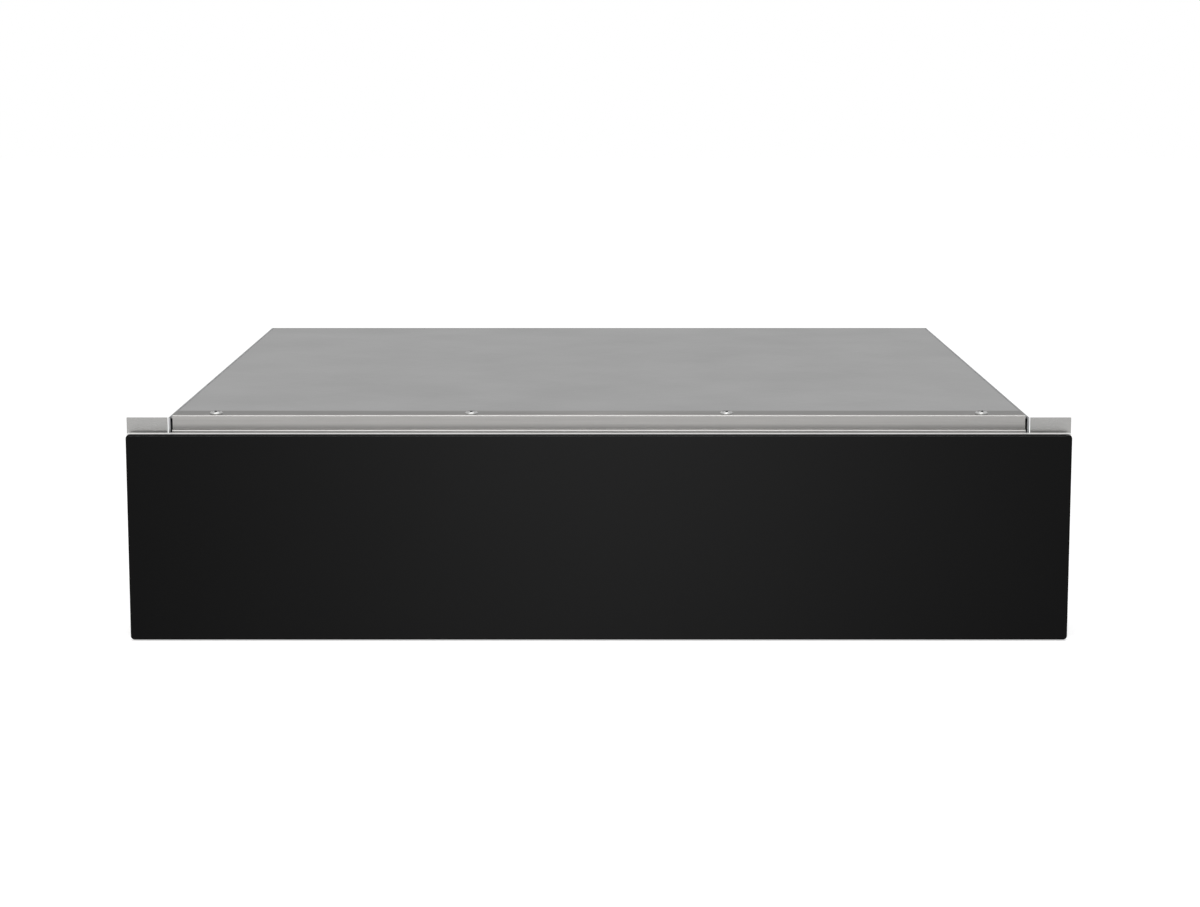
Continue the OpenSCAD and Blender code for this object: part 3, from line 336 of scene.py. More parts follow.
def black_facing():
    """Satin black lacquer with a very fine tooth; its top and bottom edges carry a painted
    highlight in grey.
    """
    made = Finish("black_facing", FACING_BLACK, 0.45, specular=0.032)
    made.tangent_upright()
    haze = made.noise(90 * MM, 2)
    made.colours(haze, [(0.25, shaded(FACING_BLACK, 0.93)), (0.75, shaded(FACING_BLACK, 1.07))])
    normal = made.node("ShaderNodeNewGeometry").outputs["Normal"]
    upward = made.node("ShaderNodeSeparateXYZ", {"Vector": normal}).outputs["Z"]
    tilt = made.node("ShaderNodeMath", {0: upward}, operation="ABSOLUTE").outputs[0]
    # Painted highlight where the normal points up or down.
    made.overlaid(made.spread(tilt, 0.0, 1.0, *HIGHLIGHT_TILT), FACING_EDGE_HIGHLIGHT)
    made.rough(made.noise(0.6 * MM, 2), 0.43, 0.47)
    made.bump(made.noise(0.35 * MM, 2), 0.004 * MM, 0.3)
    return made.material


def moulded_plastic(name, colour, roughness, specular=0.4):
    return mottled(name, colour, roughness, (12 * MM, 2), [(0.3, 0.92), (0.7, 1.06)], (0.06, 0.08),
                   (0.02 * MM, 0.6), (0.32 * MM, 3), specular=specular)


def rubber(name, colour, roughness):
    """Moulded rubber with a faint bloom and a soft tooth."""
    return mottled(name, colour, roughness, (18 * MM, 4), [(0.30, 0.85), (0.75, 1.25)],
                   (0.08, 0.08), (0.04 * MM, 0.7), (0.5 * MM, 3), specular=0.3)


def amber_lens():
    made = Finish("amber_lens", (0.85, 0.33, 0.04), 0.12, specular=0.6)
    made.set("Transmission Weight", 0.55)
    made.set("IOR", 1.49)
    depth = made.noise(2.5 * MM, 2)
    made.colours(depth, [(0.35, (0.70, 0.22, 0.02)), (0.7, (0.95, 0.45, 0.08))])
    made.rough(depth, 0.08, 0.18)
    return made.material


def print_ink(name, colour, roughness, worn, fresh):
    """Print that is a little worn."""
    made = Finish(name, colour, roughness, specular=0.3)
    made.colours(made.noise(0.7 * MM, 4), [(0.25, worn), (0.6, fresh)])
    return made.material


def wire_colour(name, colour):
    return mottled(name, colour, 0.45, (6 * MM, 3), [(0.3, 0.82), (0.7, 1.15)], (0.07, 0.09),
                   specular=0.4)


SLOTS = {
    "galvanised_steel": galvanised_sheet(),
    "cover_steel": sheet_metal("cover_steel", grey(0.385), 0.42),
    "flange_steel": sheet_metal("flange_steel", (0.325, 0.322, 0.316), 0.30, shift=5),
    # The rail's face carries painted shade just above its ledge.
    "rail_steel": brushed_steel("rail_steel", (0.312, 0.306, 0.298), 0.36, fold=rail_fold()),
    "box_steel": brushed_steel("box_steel", (0.42, 0.42, 0.415), 0.42, shift=9),
    "slide_steel": plated_steel("slide_steel", (0.55, 0.58, 0.61), 0.30),
    "screw_steel": plated_steel("screw_steel", (0.42, 0.42, 0.415), 0.30),
    "cage_brass": mottled(
        "cage_brass", (0.55, 0.39, 0.14), 0.32, (5 * MM, 3), [(0.3, 0.8), (0.7, 1.15)],
        (0.08, 0.10), metallic=1.0),
    "fan_aluminium": plated_steel("fan_aluminium", (0.60, 0.61, 0.63), 0.34),
    "motor_iron": mottled(
        "motor_iron", (0.13, 0.135, 0.14), 0.45, (2 * MM, 4), [(0.35, 0.6), (0.75, 1.5)],
        (0.10, 0.15), (0.05 * MM, 0.5), metallic=0.8),
    "heater_sheath": heater_sheath(),
    "black_facing": black_facing(),
    "insulating_board": mottled(
        "insulating_board", (0.60, 0.56, 0.46), 0.9, (0.8 * MM, 5, (5, 1, 2)),
        [(0.3, 0.8), (0.7, 1.12)], (0.08, 0.06), (0.15 * MM, 0.8), specular=0.1),
    "black_rubber": rubber("black_rubber", grey(0.012), 0.75),
    "mat_rubber": rubber("mat_rubber", (0.030, 0.032, 0.034), 0.70),
    "lead_rubber": rubber("lead_rubber", (0.016, 0.0155, 0.015), 0.55),
    "black_plastic": moulded_plastic("black_plastic", grey(0.014), 0.48),
    "white_plastic": moulded_plastic("white_plastic", (0.66, 0.64, 0.58), 0.50),
    "amber_lens": amber_lens(),
}
TRAY_STEEL = sheet_metal("tray_steel", (0.78, 0.775, 0.765), 0.48, edge=1.0, metallic=0.45)
# Painted shade: a near-black finish on the screws' cross recesses, where shade falls.
PAINTED_RECESS_SHADE = moulded_plastic("painted_recess_shade", grey(0.028), 0.85, specular=0.05)
COPPER = mottled("copper_winding", (0.62, 0.25, 0.11), 0.3, (1.5 * MM, 2, (1, 6, 1)),
                 [(0.3, 0.7), (0.7, 1.2)], (0.08, 0.10), metallic=1.0)
PRINT_WHITE = print_ink("print_white", (0.80, 0.80, 0.78), 0.55,
                        worn=(0.66, 0.66, 0.64), fresh=(0.84, 0.84, 0.82))
PRINT_DARK = print_ink("print_dark", (0.03, 0.03, 0.032), 0.6,
                       worn=(0.05, 0.05, 0.052), fresh=(0.025, 0.025, 0.027))


def dress_cad_nodes():
    """Gives every CAD node the finish of its slot, and the front's tray its own."""
    for part in frame["record"]["subparts"]:
        frame["nodes"][part["node"]].material_slots[0].material = SLOTS[part["material_slot"]]
    frame["nodes"]["front_carrier"].material_slots[0].material = TRAY_STEEL


# ---------- mesh helpers ----------

def piece(name, mesh, body, slot, material=None, replaces=(), smooth=35, inside=None):
    """Makes an object of a mesh, or of a list of them, and puts it on a body.

    Its finish is the slot's or another, and its marked faces can have one of their own."""
    if isinstance(mesh, list):
        mesh = joined(mesh)
    mesh.name = name
    made = scene_object(name, mesh)
    mesh.materials.append(material or SLOTS[slot])
    if inside:
        mesh.materials.append(inside)
    if smooth is not None:
        smooth_by_angle(mesh, smooth)
    if body:
        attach(made, body)
    if replaces:
        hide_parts(*replaces)
    return made


def smooth_by_angle(mesh, degrees):
    """Smooth faces, with a sharp edge wherever two faces meet at more than the angle."""
    work = bmesh.new()
    work.from_mesh(mesh)
    limit = math.radians(degrees)
    for face in work.faces:
        face.smooth = True
    for edge in work.edges:
        edge.smooth = len(edge.link_faces) == 2 and edge.calc_face_angle(0) < limit
    work.to_mesh(mesh)
    work.free()


def mesh_of(work):
    """Ends a bmesh: normals outwards, then a mesh."""
    bmesh.ops.recalc_face_normals(work, faces=work.faces)
    mesh = bpy.data.meshes.new("mesh")
    work.to_mesh(mesh)
    work.free()
    return mesh


def joined(meshes):
    """One mesh of several."""
    work = bmesh.new()
    for mesh in meshes:
        work.from_mesh(mesh)
        bpy.data.meshes.remove(mesh)
    made = bpy.data.meshes.new("mesh")
    work.to_mesh(made)
    work.free()
    return made


def moved(mesh, matrix):
    mesh.transform(matrix)
    return mesh


def moved_to(mesh, place):
    return moved(mesh, Matrix.Translation(place))


def facing(direction, at):
    """A matrix that turns +Z to a direction and then moves to a place."""
    turn = Z_AXIS.rotation_difference(Vector(direction)).to_matrix().to_4x4()
    return Matrix.Translation(Vector(at)) @ turn


def standing(profile, direction, place, sides=32):
    """A turned form of a profile in millimetres, that stands on a place in a direction."""
    return moved(turned(mm(profile), sides), facing(direction, place))


def soft_box(low, high, edge=0.4 * MM, steps=2):
    """A box with rounded edges, between two corners."""
    low, high = Vector(low), Vector(high)
    work = bmesh.new()
    bmesh.ops.create_cube(work, size=1)
    size = high - low
    bmesh.ops.scale(work, vec=size, verts=work.verts)
    bmesh.ops.translate(work, vec=(low + high) / 2, verts=work.verts)
    edge = min(edge, min(size) * 0.45)
    bmesh.ops.bevel(work, geom=work.edges[:], offset=edge, segments=steps, profile=0.5,
                    affect="EDGES")
    return mesh_of(work)


def around(sides):
    return [2 * math.pi * side / sides for side in range(sides)]


def bridged(work, rings):
    """The faces between closed rings of vertices, of which any can be a single point."""
    faces = []
    for first, second in zip(rings, rings[1:]):
        for side in range(max(len(first), len(second))):
            corners = [ring[step % len(ring)] for ring, step in (
                (first, side), (second, side), (second, side + 1), (first, side + 1))]
            corners = list(dict.fromkeys(corners))
            if len(corners) > 2:
                faces.append(work.faces.new(corners))
    return faces


def turned(profile, sides=48, flutes=0, flute_depth=0.0, flute_rows=()):
    """A turned form around +Z from (radius, height) points; chosen rows can be fluted."""
    work = bmesh.new()
    rows = []
    for index, (radius, height) in enumerate(profile):
        if radius <= 0:
            rows.append([work.verts.new((0, 0, height))])
            continue
        row = []
        for angle in around(sides):
            reach = radius
            if index in flute_rows:
                reach -= flute_depth * (0.5 + 0.5 * math.cos(angle * flutes))
            row.append(work.verts.new((reach * math.cos(angle), reach * math.sin(angle), height)))
        rows.append(row)
    bridged(work, rows)
    if len(rows[0]) > 1 and len(rows[-1]) > 1 and profile[0] != profile[-1]:
        work.faces.new(rows[0])
        work.faces.new(rows[-1])
    bmesh.ops.remove_doubles(work, verts=work.verts, dist=1e-7)
    return mesh_of(work)


def tube(points, radius, sides=10):
    """A tube along points, closed at both ends."""
    points = [Vector(p) for p in points]
    work = bmesh.new()
    rings = []
    across = None
    for index, point in enumerate(points):
        before = points[max(index - 1, 0)]
        after = points[min(index + 1, len(points) - 1)]
        along = (after - before).normalized()
        if across is None:
            across = along.orthogonal().normalized()
        across = (across - along * across.dot(along)).normalized()
        up = along.cross(across)
        rings.append([
            work.verts.new(point + (across * math.cos(angle) + up * math.sin(angle)) * radius)
            for angle in around(sides)])
    bridged(work, rings)
    work.faces.new(rings[0])
    work.faces.new(rings[-1])
    return mesh_of(work)


def rounded_path(corners, radius, steps=6):
    """Points along straight runs whose corners are turned at a radius."""
    corners = [Vector(c) for c in corners]
    points = [corners[0]]
    for before, corner, after in zip(corners, corners[1:], corners[2:]):
        back, ahead = (before - corner), (after - corner)
        reach = min(radius, back.length * 0.45, ahead.length * 0.45)
        start = corner + back.normalized() * reach
        end = corner + ahead.normalized() * reach
        for step in range(steps + 1):
            t = step / steps
            points.append(start * (1 - t) ** 2 + corner * 2 * t * (1 - t) + end * t ** 2)
    points.append(corners[-1])
    return points


PRINT_RELIEF = 0.06 * MM
FONT_SIZE = 1.4          # of the height of its digits


def lettering(text, height, centre):
    """Raised print that lies on a level surface, centred on a place."""
    curve = bpy.data.curves.new("print", "FONT")
    curve.body = text
    curve.size = height * FONT_SIZE
    curve.extrude = PRINT_RELIEF / 2
    curve.align_x = curve.align_y = "CENTER"
    curve.resolution_u = 3
    source = scene_object("print", curve)
    bpy.context.view_layer.update()
    mesh = bpy.data.meshes.new_from_object(source)
    bpy.data.objects.remove(source)
    bpy.data.curves.remove(curve)
    return moved_to(mesh, Vector(centre) + Z_AXIS * (PRINT_RELIEF / 2))


# ---------- controls ----------

KNOB_TURN = math.radians(270)
KNOB_LIFT = 0.6 * MM         # the knob's underside above the panel
SKIRT_HEIGHT = 3 * MM
SKIRT_FLUTES = 36
GRIP_HALF = 2.5 * MM
POINTER_HALF = 0.55 * MM
POINTER_ENDS = (1 * MM, 10 * MM)     # from the grip's rim


def knob_place():
    """Where the knob's axis is, and the knob's radius."""
    low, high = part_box("thermostat_knob")
    return middle_of("thermostat_knob"), (high.x - low.x) / 2


def make_knob():
    """A fluted skirt, a cap and a grip with the pointer, which is at 0, towards the user."""
    centre, radius = knob_place()
    shaft_low, top = (corner.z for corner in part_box("thermostat_knob"))
    low = PANEL + KNOB_LIFT
    skirt_top = low + SKIRT_HEIGHT
    cap_top = top - 2 * MM
    cap_radius = radius - 3 * MM
    skirt = turned([
        (0, low), *mm([(-0.6, 0), (0, 0.5)], (radius, low)),
        *mm([(0, -0.9), (-0.3, -0.3), (-0.9, 0)], (radius, skirt_top)),
        *mm([(0.9, 0.05), (0.3, 0.25), (0, 0.9)], (cap_radius, skirt_top)),
        *mm([(-0.2, -1.2), (-0.6, -0.4), (-1.4, 0), (-4, 0.02)], (cap_radius, cap_top)),
        (0, cap_top)], sides=144, flutes=SKIRT_FLUTES, flute_depth=0.45 * MM, flute_rows=(2, 3, 4))
    reach = radius - 2 * MM
    grip = soft_box((-GRIP_HALF, -reach, skirt_top - 0.3 * MM), (GRIP_HALF, reach, top),
                    0.9 * MM, 4)
    shaft = turned([(0, shaft_low), (2.7 * MM, shaft_low), (3 * MM, shaft_low + 0.3 * MM),
                    (3 * MM, low), (0, low)], sides=32)
    dial = moved_to(joined([skirt, grip, shaft]), centre)
    piece("thermostat_knob_dial", dial, "knob", "black_plastic", replaces=["thermostat_knob"])
    start, end = (-reach + place for place in POINTER_ENDS)
    line = soft_box((-POINTER_HALF, start, top - 0.05 * MM), (POINTER_HALF, end, top + 0.04 * MM),
                    0.03 * MM, 1)
    piece("thermostat_knob_pointer", moved_to(line, centre), "knob", "white_plastic", PRINT_WHITE,
          smooth=None)


DIAL_MARKS = 17
DIAL_NUMBERED = 4            # every fourth mark has a number
DIAL_STEP = 20
DIGIT_HEIGHT = 2.4 * MM
NUMBER_REACH = 4.6 * MM      # from the knob's rim to the middle of a number
TICK_REACH = 1.0 * MM


def make_dial_print():
    """Ticks and plain numbers around the knob."""
    centre, radius = knob_place()
    inner = radius + TICK_REACH
    meshes = []
    for index in range(DIAL_MARKS):
        turn = -KNOB_TURN * index / (DIAL_MARKS - 1)
        numbered = index % DIAL_NUMBERED == 0
        length = (2.0 if numbered else 1.2) * MM
        width = (0.55 if numbered else 0.35) * MM
        tick = soft_box((-width / 2, -inner - length, PANEL),
                        (width / 2, -inner, PANEL + PRINT_RELIEF), 0.02 * MM, 1)
        meshes.append(moved(tick, Matrix.Translation(centre) @ Matrix.Rotation(turn, 4, "Z")))
        if numbered:
            spot = centre + Matrix.Rotation(turn, 3, "Z") @ Vector((0, -(radius + NUMBER_REACH), 0))
            number = str(index // DIAL_NUMBERED * DIAL_STEP)
            meshes.append(lettering(number, DIGIT_HEIGHT, (spot.x, spot.y, PANEL)))
    piece("dial_print", meshes, "drawer", "box_steel", PRINT_DARK, smooth=None)


ROCKER_TILT = math.radians(7)
ROCKER_HALF = 8.7 * MM
ROCKER_WIDTH = 11 * MM
ROCKER_TIP = 4.2 * MM        # the middle of its face above its pivot
ROCKER_BASE = -1.6 * MM
ROCKER_DISH = 1.6            # the power by which its face rises towards its ends
ROCKER_STEPS = 16
PIVOT_DEPTH = 3 * MM
MARK_SHARE = 0.62            # where its marks are, of its half length


def make_rocker():
    """A dished rocker with an I and an O, tilted to its off side."""
    pivot = middle_of("switch_rocker", PANEL - PIVOT_DEPTH)
    rise = 9 * MM * math.tan(ROCKER_TILT)
    outline = []
    for step in range(ROCKER_STEPS + 1):
        x = -ROCKER_HALF + 2 * ROCKER_HALF * step / ROCKER_STEPS
        outline.append((x, ROCKER_TIP + rise * (abs(x) / ROCKER_HALF) ** ROCKER_DISH))
    outline += [(ROCKER_HALF, ROCKER_BASE), (-ROCKER_HALF, ROCKER_BASE)]
    work = bmesh.new()
    sides = [[work.verts.new((x, y, z)) for x, z in outline]
             for y in (-ROCKER_WIDTH / 2, ROCKER_WIDTH / 2)]
    for index in range(len(outline)):
        after = (index + 1) % len(outline)
        work.faces.new((sides[0][index], sides[0][after], sides[1][after], sides[1][index]))
    work.faces.new(sides[0])
    work.faces.new(sides[1])
    rims = [e for e in work.edges if e.calc_face_angle(0) > math.radians(40)]
    bmesh.ops.bevel(work, geom=rims, offset=0.5 * MM, segments=3, profile=0.5, affect="EDGES")
    rocker = mesh_of(work)
    pin = standing([(0, -6.9), (1.2, -6.9), (1.2, 6.9), (0, 6.9)], Y_AXIS, (0, 0, 0), 24)
    place = Matrix.Translation(pivot) @ Matrix.Rotation(ROCKER_TILT, 4, "Y")
    piece("switch_rocker_cap", moved(joined([rocker, pin]), place), "rocker",
          "black_plastic", replaces=["switch_rocker"], smooth=30)
    slope = math.atan2(rise, ROCKER_HALF)
    mark_x = ROCKER_HALF * MARK_SHARE
    height = ROCKER_TIP + rise * MARK_SHARE ** ROCKER_DISH + 0.02 * MM
    bar = soft_box(*mm([(-0.35, -1.7, -0.05), (0.35, 1.7, 0.06)]), 0.02 * MM, 1)
    ring = turned(mm([(1.2, -0.05), (1.8, -0.05), (1.8, 0.06), (1.2, 0.06), (1.2, -0.05)]), 32)
    bar = moved(bar, Matrix.Translation((-mark_x, 0, height)) @ Matrix.Rotation(slope, 4, "Y"))
    ring = moved(ring, Matrix.Translation((mark_x, 0, height)) @ Matrix.Rotation(-slope, 4, "Y"))
    piece("switch_rocker_marks", moved(joined([bar, ring]), place), "rocker",
          "white_plastic", PRINT_WHITE, smooth=None)


LENS_RADIUS = 4 * MM
LENS_FLUTES = 18
LENS_DOME = [(0.86, 0), (0.84, 0.5), (0.74, 1.2), (0.52, 1.85), (0.27, 2.2)]     # share, mm
BEZEL_HEIGHT = 0.8 * MM


def make_pilot_lamp():
    """A fluted amber lens in a black bezel, on its holder under the panel."""
    low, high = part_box("pilot_lamp")
    centre = middle_of("pilot_lamp")
    radius = LENS_RADIUS
    rim = (high.x - low.x) / 2
    base = PANEL + BEZEL_HEIGHT
    under = PANEL - 1.05 * MM
    dome = [(radius * share, base + rise * MM) for share, rise in LENS_DOME]
    lens = turned([(0, PANEL + 0.1 * MM), (dome[0][0], PANEL + 0.1 * MM), *dome,
                   (0, high.z - 0.05 * MM)],
                  sides=72, flutes=LENS_FLUTES, flute_depth=0.28 * MM, flute_rows=(2, 3, 4))
    piece("pilot_lamp_lens", moved_to(lens, centre), "drawer", "amber_lens",
          replaces=["pilot_lamp"], smooth=40)
    bezel = turned([(radius * 0.9, PANEL), *mm([(-0.2, 0), (0, 0.2), (-0.15, 0.6)], (rim, PANEL)),
                    (rim - 0.5 * MM, base), (radius * 0.98, base), (radius * 0.9, base - 0.2 * MM),
                    (radius * 0.9, PANEL)], sides=64)
    holder = turned([(0, low.z), (radius - 0.4 * MM, low.z), (radius, low.z + 0.5 * MM),
                     (radius, under), (0, under)], sides=40)
    housing = moved_to(joined([bezel, holder]), centre)
    piece("pilot_lamp_bezel", housing, "drawer", "black_plastic")


# ---------- the curly lead ----------

LEAD_RADIUS = 1.7 * MM
WIRING_HALF = 2.5 * MM       # half the width of the wiring that the lead comes out of
PAN_SHEET = 1.2 * MM
COIL_RADIUS = 5 * MM
COIL_RISE = 5.3 * MM         # the coil's axis above the base pan
COIL_BACK = 26 * MM          # the coil's axis behind the drawer's rear wall
COIL_GAPS = (26 * MM, 14 * MM)       # from the wiring to the coil, and from there to the terminals
CURL_PITCH = 4.0 * MM
CURL_STEPS = 12
LEAD_BOOT = [(1.8, 0), (4.0, 0), (4.0, 1.2), (2.9, 1.6), (2.4, 7), (1.8, 7.2), (1.8, 0)]
LEAD_SLEEVE = [(1.8, 0), (4.2, 0), (4.2, 1.4), (3.2, 1.8), (2.7, 7), (1.8, 7.4), (1.8, 0)]


def make_trailing_lead():
    """The curly lead: out of the drawer's rear wall, down, and in curls to the terminal cover."""
    wall, cover = REAR_WALL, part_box("terminal_cover")[1].x
    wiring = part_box("drawer_wiring")
    exit_x = wiring[1].x - WIRING_HALF
    exit_z = wiring[0].z + WIRING_HALF
    coil_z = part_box("base_pan")[0].z + PAN_SHEET + COIL_RISE
    coil_y = wall + COIL_BACK
    start_x, end_x = exit_x - COIL_GAPS[0], cover + COIL_GAPS[1]
    total = round((start_x - end_x) / CURL_PITCH) * CURL_STEPS
    points = rounded_path([
        *mm([(0, 6, 0), (0, 14, 0)], (exit_x, wall, exit_z)),
        *mm([(-8, -1, 1.2)], (exit_x, coil_y, coil_z)),
        (start_x + 3 * MM, coil_y, coil_z)], 6 * MM)
    for step in range(total + 1):
        share = step / total
        ease = min(1.0, step / CURL_STEPS, (total - step) / CURL_STEPS)
        angle = 2 * math.pi * step / CURL_STEPS
        reach = (COIL_RADIUS - LEAD_RADIUS) * ease
        points.append(Vector((start_x + (end_x - start_x) * share, coil_y + reach * math.cos(angle),
                              coil_z + reach * math.sin(angle))))
    points += [(x, coil_y, coil_z) for x in (end_x - 4 * MM, cover + 5 * MM, cover - 1 * MM)]
    made = piece("curly_lead", tube(points, LEAD_RADIUS, sides=8), None, "lead_rubber",
                 replaces=["trailing_lead"], smooth=60)
    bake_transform(made)
    for name, profile, body, direction, place in (
            ("lead_boot", LEAD_BOOT, "case", X_AXIS, (cover, coil_y, coil_z)),
            ("lead_sleeve", LEAD_SLEEVE, "drawer", Y_AXIS, (exit_x, wall, exit_z))):
        piece(name, standing(profile, direction, place, 28), body, "black_rubber")


# ---------- fan motor and harness ----------

LAMINATIONS = 16
STACK_BACK = 9 * MM          # the motor's stack behind the drawer's rear wall
STACK_DEPTH = 16 * MM
WINDING_ROWS = 22
MOTOR_CAP = [(2.1, 0), (11, 0), (11, 4.6), (10.2, 6.4), (7.6, 8.0), (4.2, 8.8), (2.1, 9), (2.1, 0)]
MOTOR_COLLAR = [(2.1, 0), (7, 0), (11, 2.2), (11, 4), (2.1, 4), (2.1, 0)]
MOTOR_POST = [(0, 0), (3, 0), (3, 0.6), (2.5, 0.9), (2.5, 8.1), (3, 8.4), (3, 9), (0, 9)]
POST_HEAD = [(0, 0), (2.6, 0), (2.6, 0.8), (1.6, 1.6), (0, 1.8)]


def make_fan_motor():
    """A shaded-pole motor: laminated stack on four posts, bobbin with copper, bearing straps."""
    low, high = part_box("fan_motor")
    mid_z, wall = (low.z + high.z) / 2, REAR_WALL
    half_w, half_h = (high.x - low.x) / 2, (high.z - low.z) / 2
    stack_y = wall + STACK_BACK
    stack_end = stack_y + STACK_DEPTH
    pitch = STACK_DEPTH / LAMINATIONS
    plates = []
    for index in range(LAMINATIONS):
        y = stack_y + index * pitch
        inset = 0.0 if index % 2 else 0.25 * MM
        plates.append(soft_box(
            (-half_w + 14 * MM, y, mid_z - half_h + inset),
            (half_w - inset, y + pitch * 0.98, mid_z + half_h - inset), 0.12 * MM, 1))
        plates.append(soft_box(
            (-half_w + inset, y, mid_z - 7 * MM),
            (-half_w + 14.2 * MM, y + pitch * 0.98, mid_z + 7 * MM), 0.12 * MM, 1))
    piece("fan_motor_stack", plates, "drawer", "motor_iron", replaces=["fan_motor"], smooth=None)

    coil_x = -half_w + 6.5 * MM
    bobbin = [soft_box((coil_x - 6.4 * MM, wall + 6.2 * MM, z),
                       (coil_x + 6.6 * MM, stack_end + 3 * MM, z + 1.5 * MM), 0.5 * MM)
              for z in (mid_z - half_h + 1.5 * MM, mid_z + half_h - 3 * MM)]
    piece("fan_motor_bobbin", bobbin, "drawer", "white_plastic")

    span = 2 * half_h - 6.4 * MM
    near, far = wall + 7.6 * MM, stack_end + 1.6 * MM
    left, right = coil_x - 5.4 * MM, coil_x + 5.6 * MM
    winding = []
    for index in range(WINDING_ROWS):
        z = mid_z - span / 2 + span * (index + 0.5) / WINDING_ROWS
        loop = [(x, y, z) for x, y in ((coil_x, near), (right, near), (right, far), (left, far),
                                       (left, near), (coil_x, near))]
        winding.append(tube(rounded_path(loop, 3 * MM, 4), span / WINDING_ROWS * 0.5, sides=6))
    piece("fan_motor_winding", winding, "drawer", "cage_brass", COPPER, smooth=60)

    bearings = [soft_box((-9 * MM, y, mid_z - half_h + 2 * MM),
                         (9 * MM, y + 1.8 * MM, mid_z + half_h - 2 * MM), 0.5 * MM)
                for y in (wall + 7.2 * MM, stack_end)]
    bearings.append(standing(MOTOR_CAP, Y_AXIS, (0, stack_end, mid_z), 48))
    bearings.append(standing(MOTOR_COLLAR, Y_AXIS, (0, wall + 5 * MM, mid_z), 48))
    piece("fan_motor_bearings", bearings, "drawer", "fan_aluminium")

    posts = []
    for x in (-half_w + 5 * MM, half_w - 5 * MM):
        for z in (mid_z - half_h + 5 * MM, mid_z + half_h - 5 * MM):
            posts.append(standing(MOTOR_POST, Y_AXIS, (x, wall, z), 24))
            if x > 0:
                posts.append(standing(POST_HEAD, Y_AXIS, (x, stack_end, z), 24))
    piece("fan_motor_posts", posts, "drawer", "screw_steel")


WIRE_RADIUS = 1.15 * MM
WIRE_BEND = 7 * MM
RUN_HEIGHT = 33 * MM         # the lowest wire along the rear wall, over the floor
ROD_RADIUS = 3.25 * MM
CLIP_PLACES = (170 * MM, 60 * MM, -60 * MM)
INSULATOR = [(1.8, 0), (5.2, 0), (5.2, 3.2), (4.4, 4.2), (1.8, 4.4), (1.8, 0)]


def make_harness():
    """Wires along the outside of the drawer's rear wall, to the motor and to the heating rod."""
    wall, run_z = REAR_WALL, RUN_HEIGHT
    rod_low, rod_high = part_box("heating_element")
    rod_x = rod_low.x + ROD_RADIUS
    pins = [(rod_x, rod_high.y, z) for z in (rod_low.z + ROD_RADIUS, rod_high.z - ROD_RADIUS)]
    leaves = (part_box("drawer_wiring")[1].x - WIRING_HALF, wall, run_z)
    motor_z = sum(corner.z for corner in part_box("fan_motor")) / 2
    wires = {
        "brown": ((0.16, 0.055, 0.018), [
            *mm([(-5, 0.2, -4), (-9, 2.2, 0)], leaves),
            *mm([(22, 2.2, 0), (12, 2.4, 2)], (rod_x, wall, run_z)),
            *mm([(8, -3, -6), (0, -2, -5), (0, -2, -2)], pins[0])]),
        "blue": ((0.02, 0.07, 0.28), [
            *mm([(-5, 0.2, -1), (-9, 2.2, 2.6)], leaves),
            *mm([(26, 2.2, 2.6)], (rod_x, wall, run_z)),
            *mm([(12, 2.4, 16)], (rod_x, wall, pins[0][2])),
            *mm([(9, -4, -10), (0, -2, -7), (0, -2, -2)], pins[1])]),
        "white": ((0.62, 0.62, 0.60), [
            *mm([(-5, 0.2, 2), (-10, 2.2, 5.2)], leaves),
            *mm([(60, 2.2, 5.2), (-6, 2.2, 5.2), (-16, 3.4, 8)], (0, wall, run_z)),
            *mm([(-19, 5.6, -21.5)], (0, wall, motor_z))]),
    }
    for name, (colour, corners) in wires.items():
        mesh = tube(rounded_path(corners, WIRE_BEND), WIRE_RADIUS, sides=8)
        piece("wire_" + name, mesh, "drawer", "lead_rubber", wire_colour("wire_" + name, colour),
              smooth=60)
    clips = [soft_box(*mm([(-3, 0, -2.4), (3, 4.2, 7.6)], (x, wall, run_z)), 1.2 * MM, 3)
             for x in CLIP_PLACES]
    piece("wire_clips", clips, "drawer", "black_plastic")
    sleeves, lugs = [], []
    for pin in pins:
        sleeves.append(standing(INSULATOR, Y_AXIS, (rod_x, wall + 4.4 * MM, pin[2])))
        lugs.append(soft_box(*mm([(-2.4, -4.5, -2.6), (2.4, -0.2, 2.6)], pin), 0.7 * MM, 3))
    piece("heater_insulators", sleeves, "drawer", "white_plastic")
    piece("heater_lugs", lugs, "drawer", "cage_brass")


# ---------- screws, rivets and feet ----------

RIVET_HEAD = 0.9 * MM
RIVET_DOME = [(0, 0.45), (0.30, 0.40), (0.34, 0.92), (0.55, 1), (0.80, 0.78), (0.95, 0.38)]
SCREW_SIDES = 64
RECESS_REACH = 0.66      # of the head's radius
RECESS_HALF = 0.20       # likewise
RECESS_DEPTH = 0.70      # of the head's height
RECESS_TAPER = 0.6       # the recess's floor, of its mouth
DOME_SHARES = (0.72, 0.80)
DOME_DROP = 0.32         # how far the head has dropped where its rim starts, of its height
RIM = [(0.90, 0.56), (0.97, 0.36), (1.0, 0.16), (0.985, 0.0)]
STEM_SHARE = 0.44


def solids_of(node):
    """The boxes of a node's separate solids, in order of their places."""
    work = bmesh.new()
    work.from_mesh(frame["nodes"][node].data)
    bmesh.ops.remove_doubles(work, verts=work.verts, dist=1e-6)
    left = set(work.verts)
    boxes = []
    while left:
        found = [left.pop()]
        for vert in found:       # the list grows as it is gone through
            for edge in vert.link_edges:
                other = edge.other_vert(vert)
                if other in left:
                    left.remove(other)
                    found.append(other)
        spans = list(zip(*(vert.co for vert in found)))
        boxes.append((Vector([min(span) for span in spans]), Vector([max(span) for span in spans])))
    work.free()
    return sorted(boxes, key=lambda box: tuple(round(value, 5) for value in box[0]))


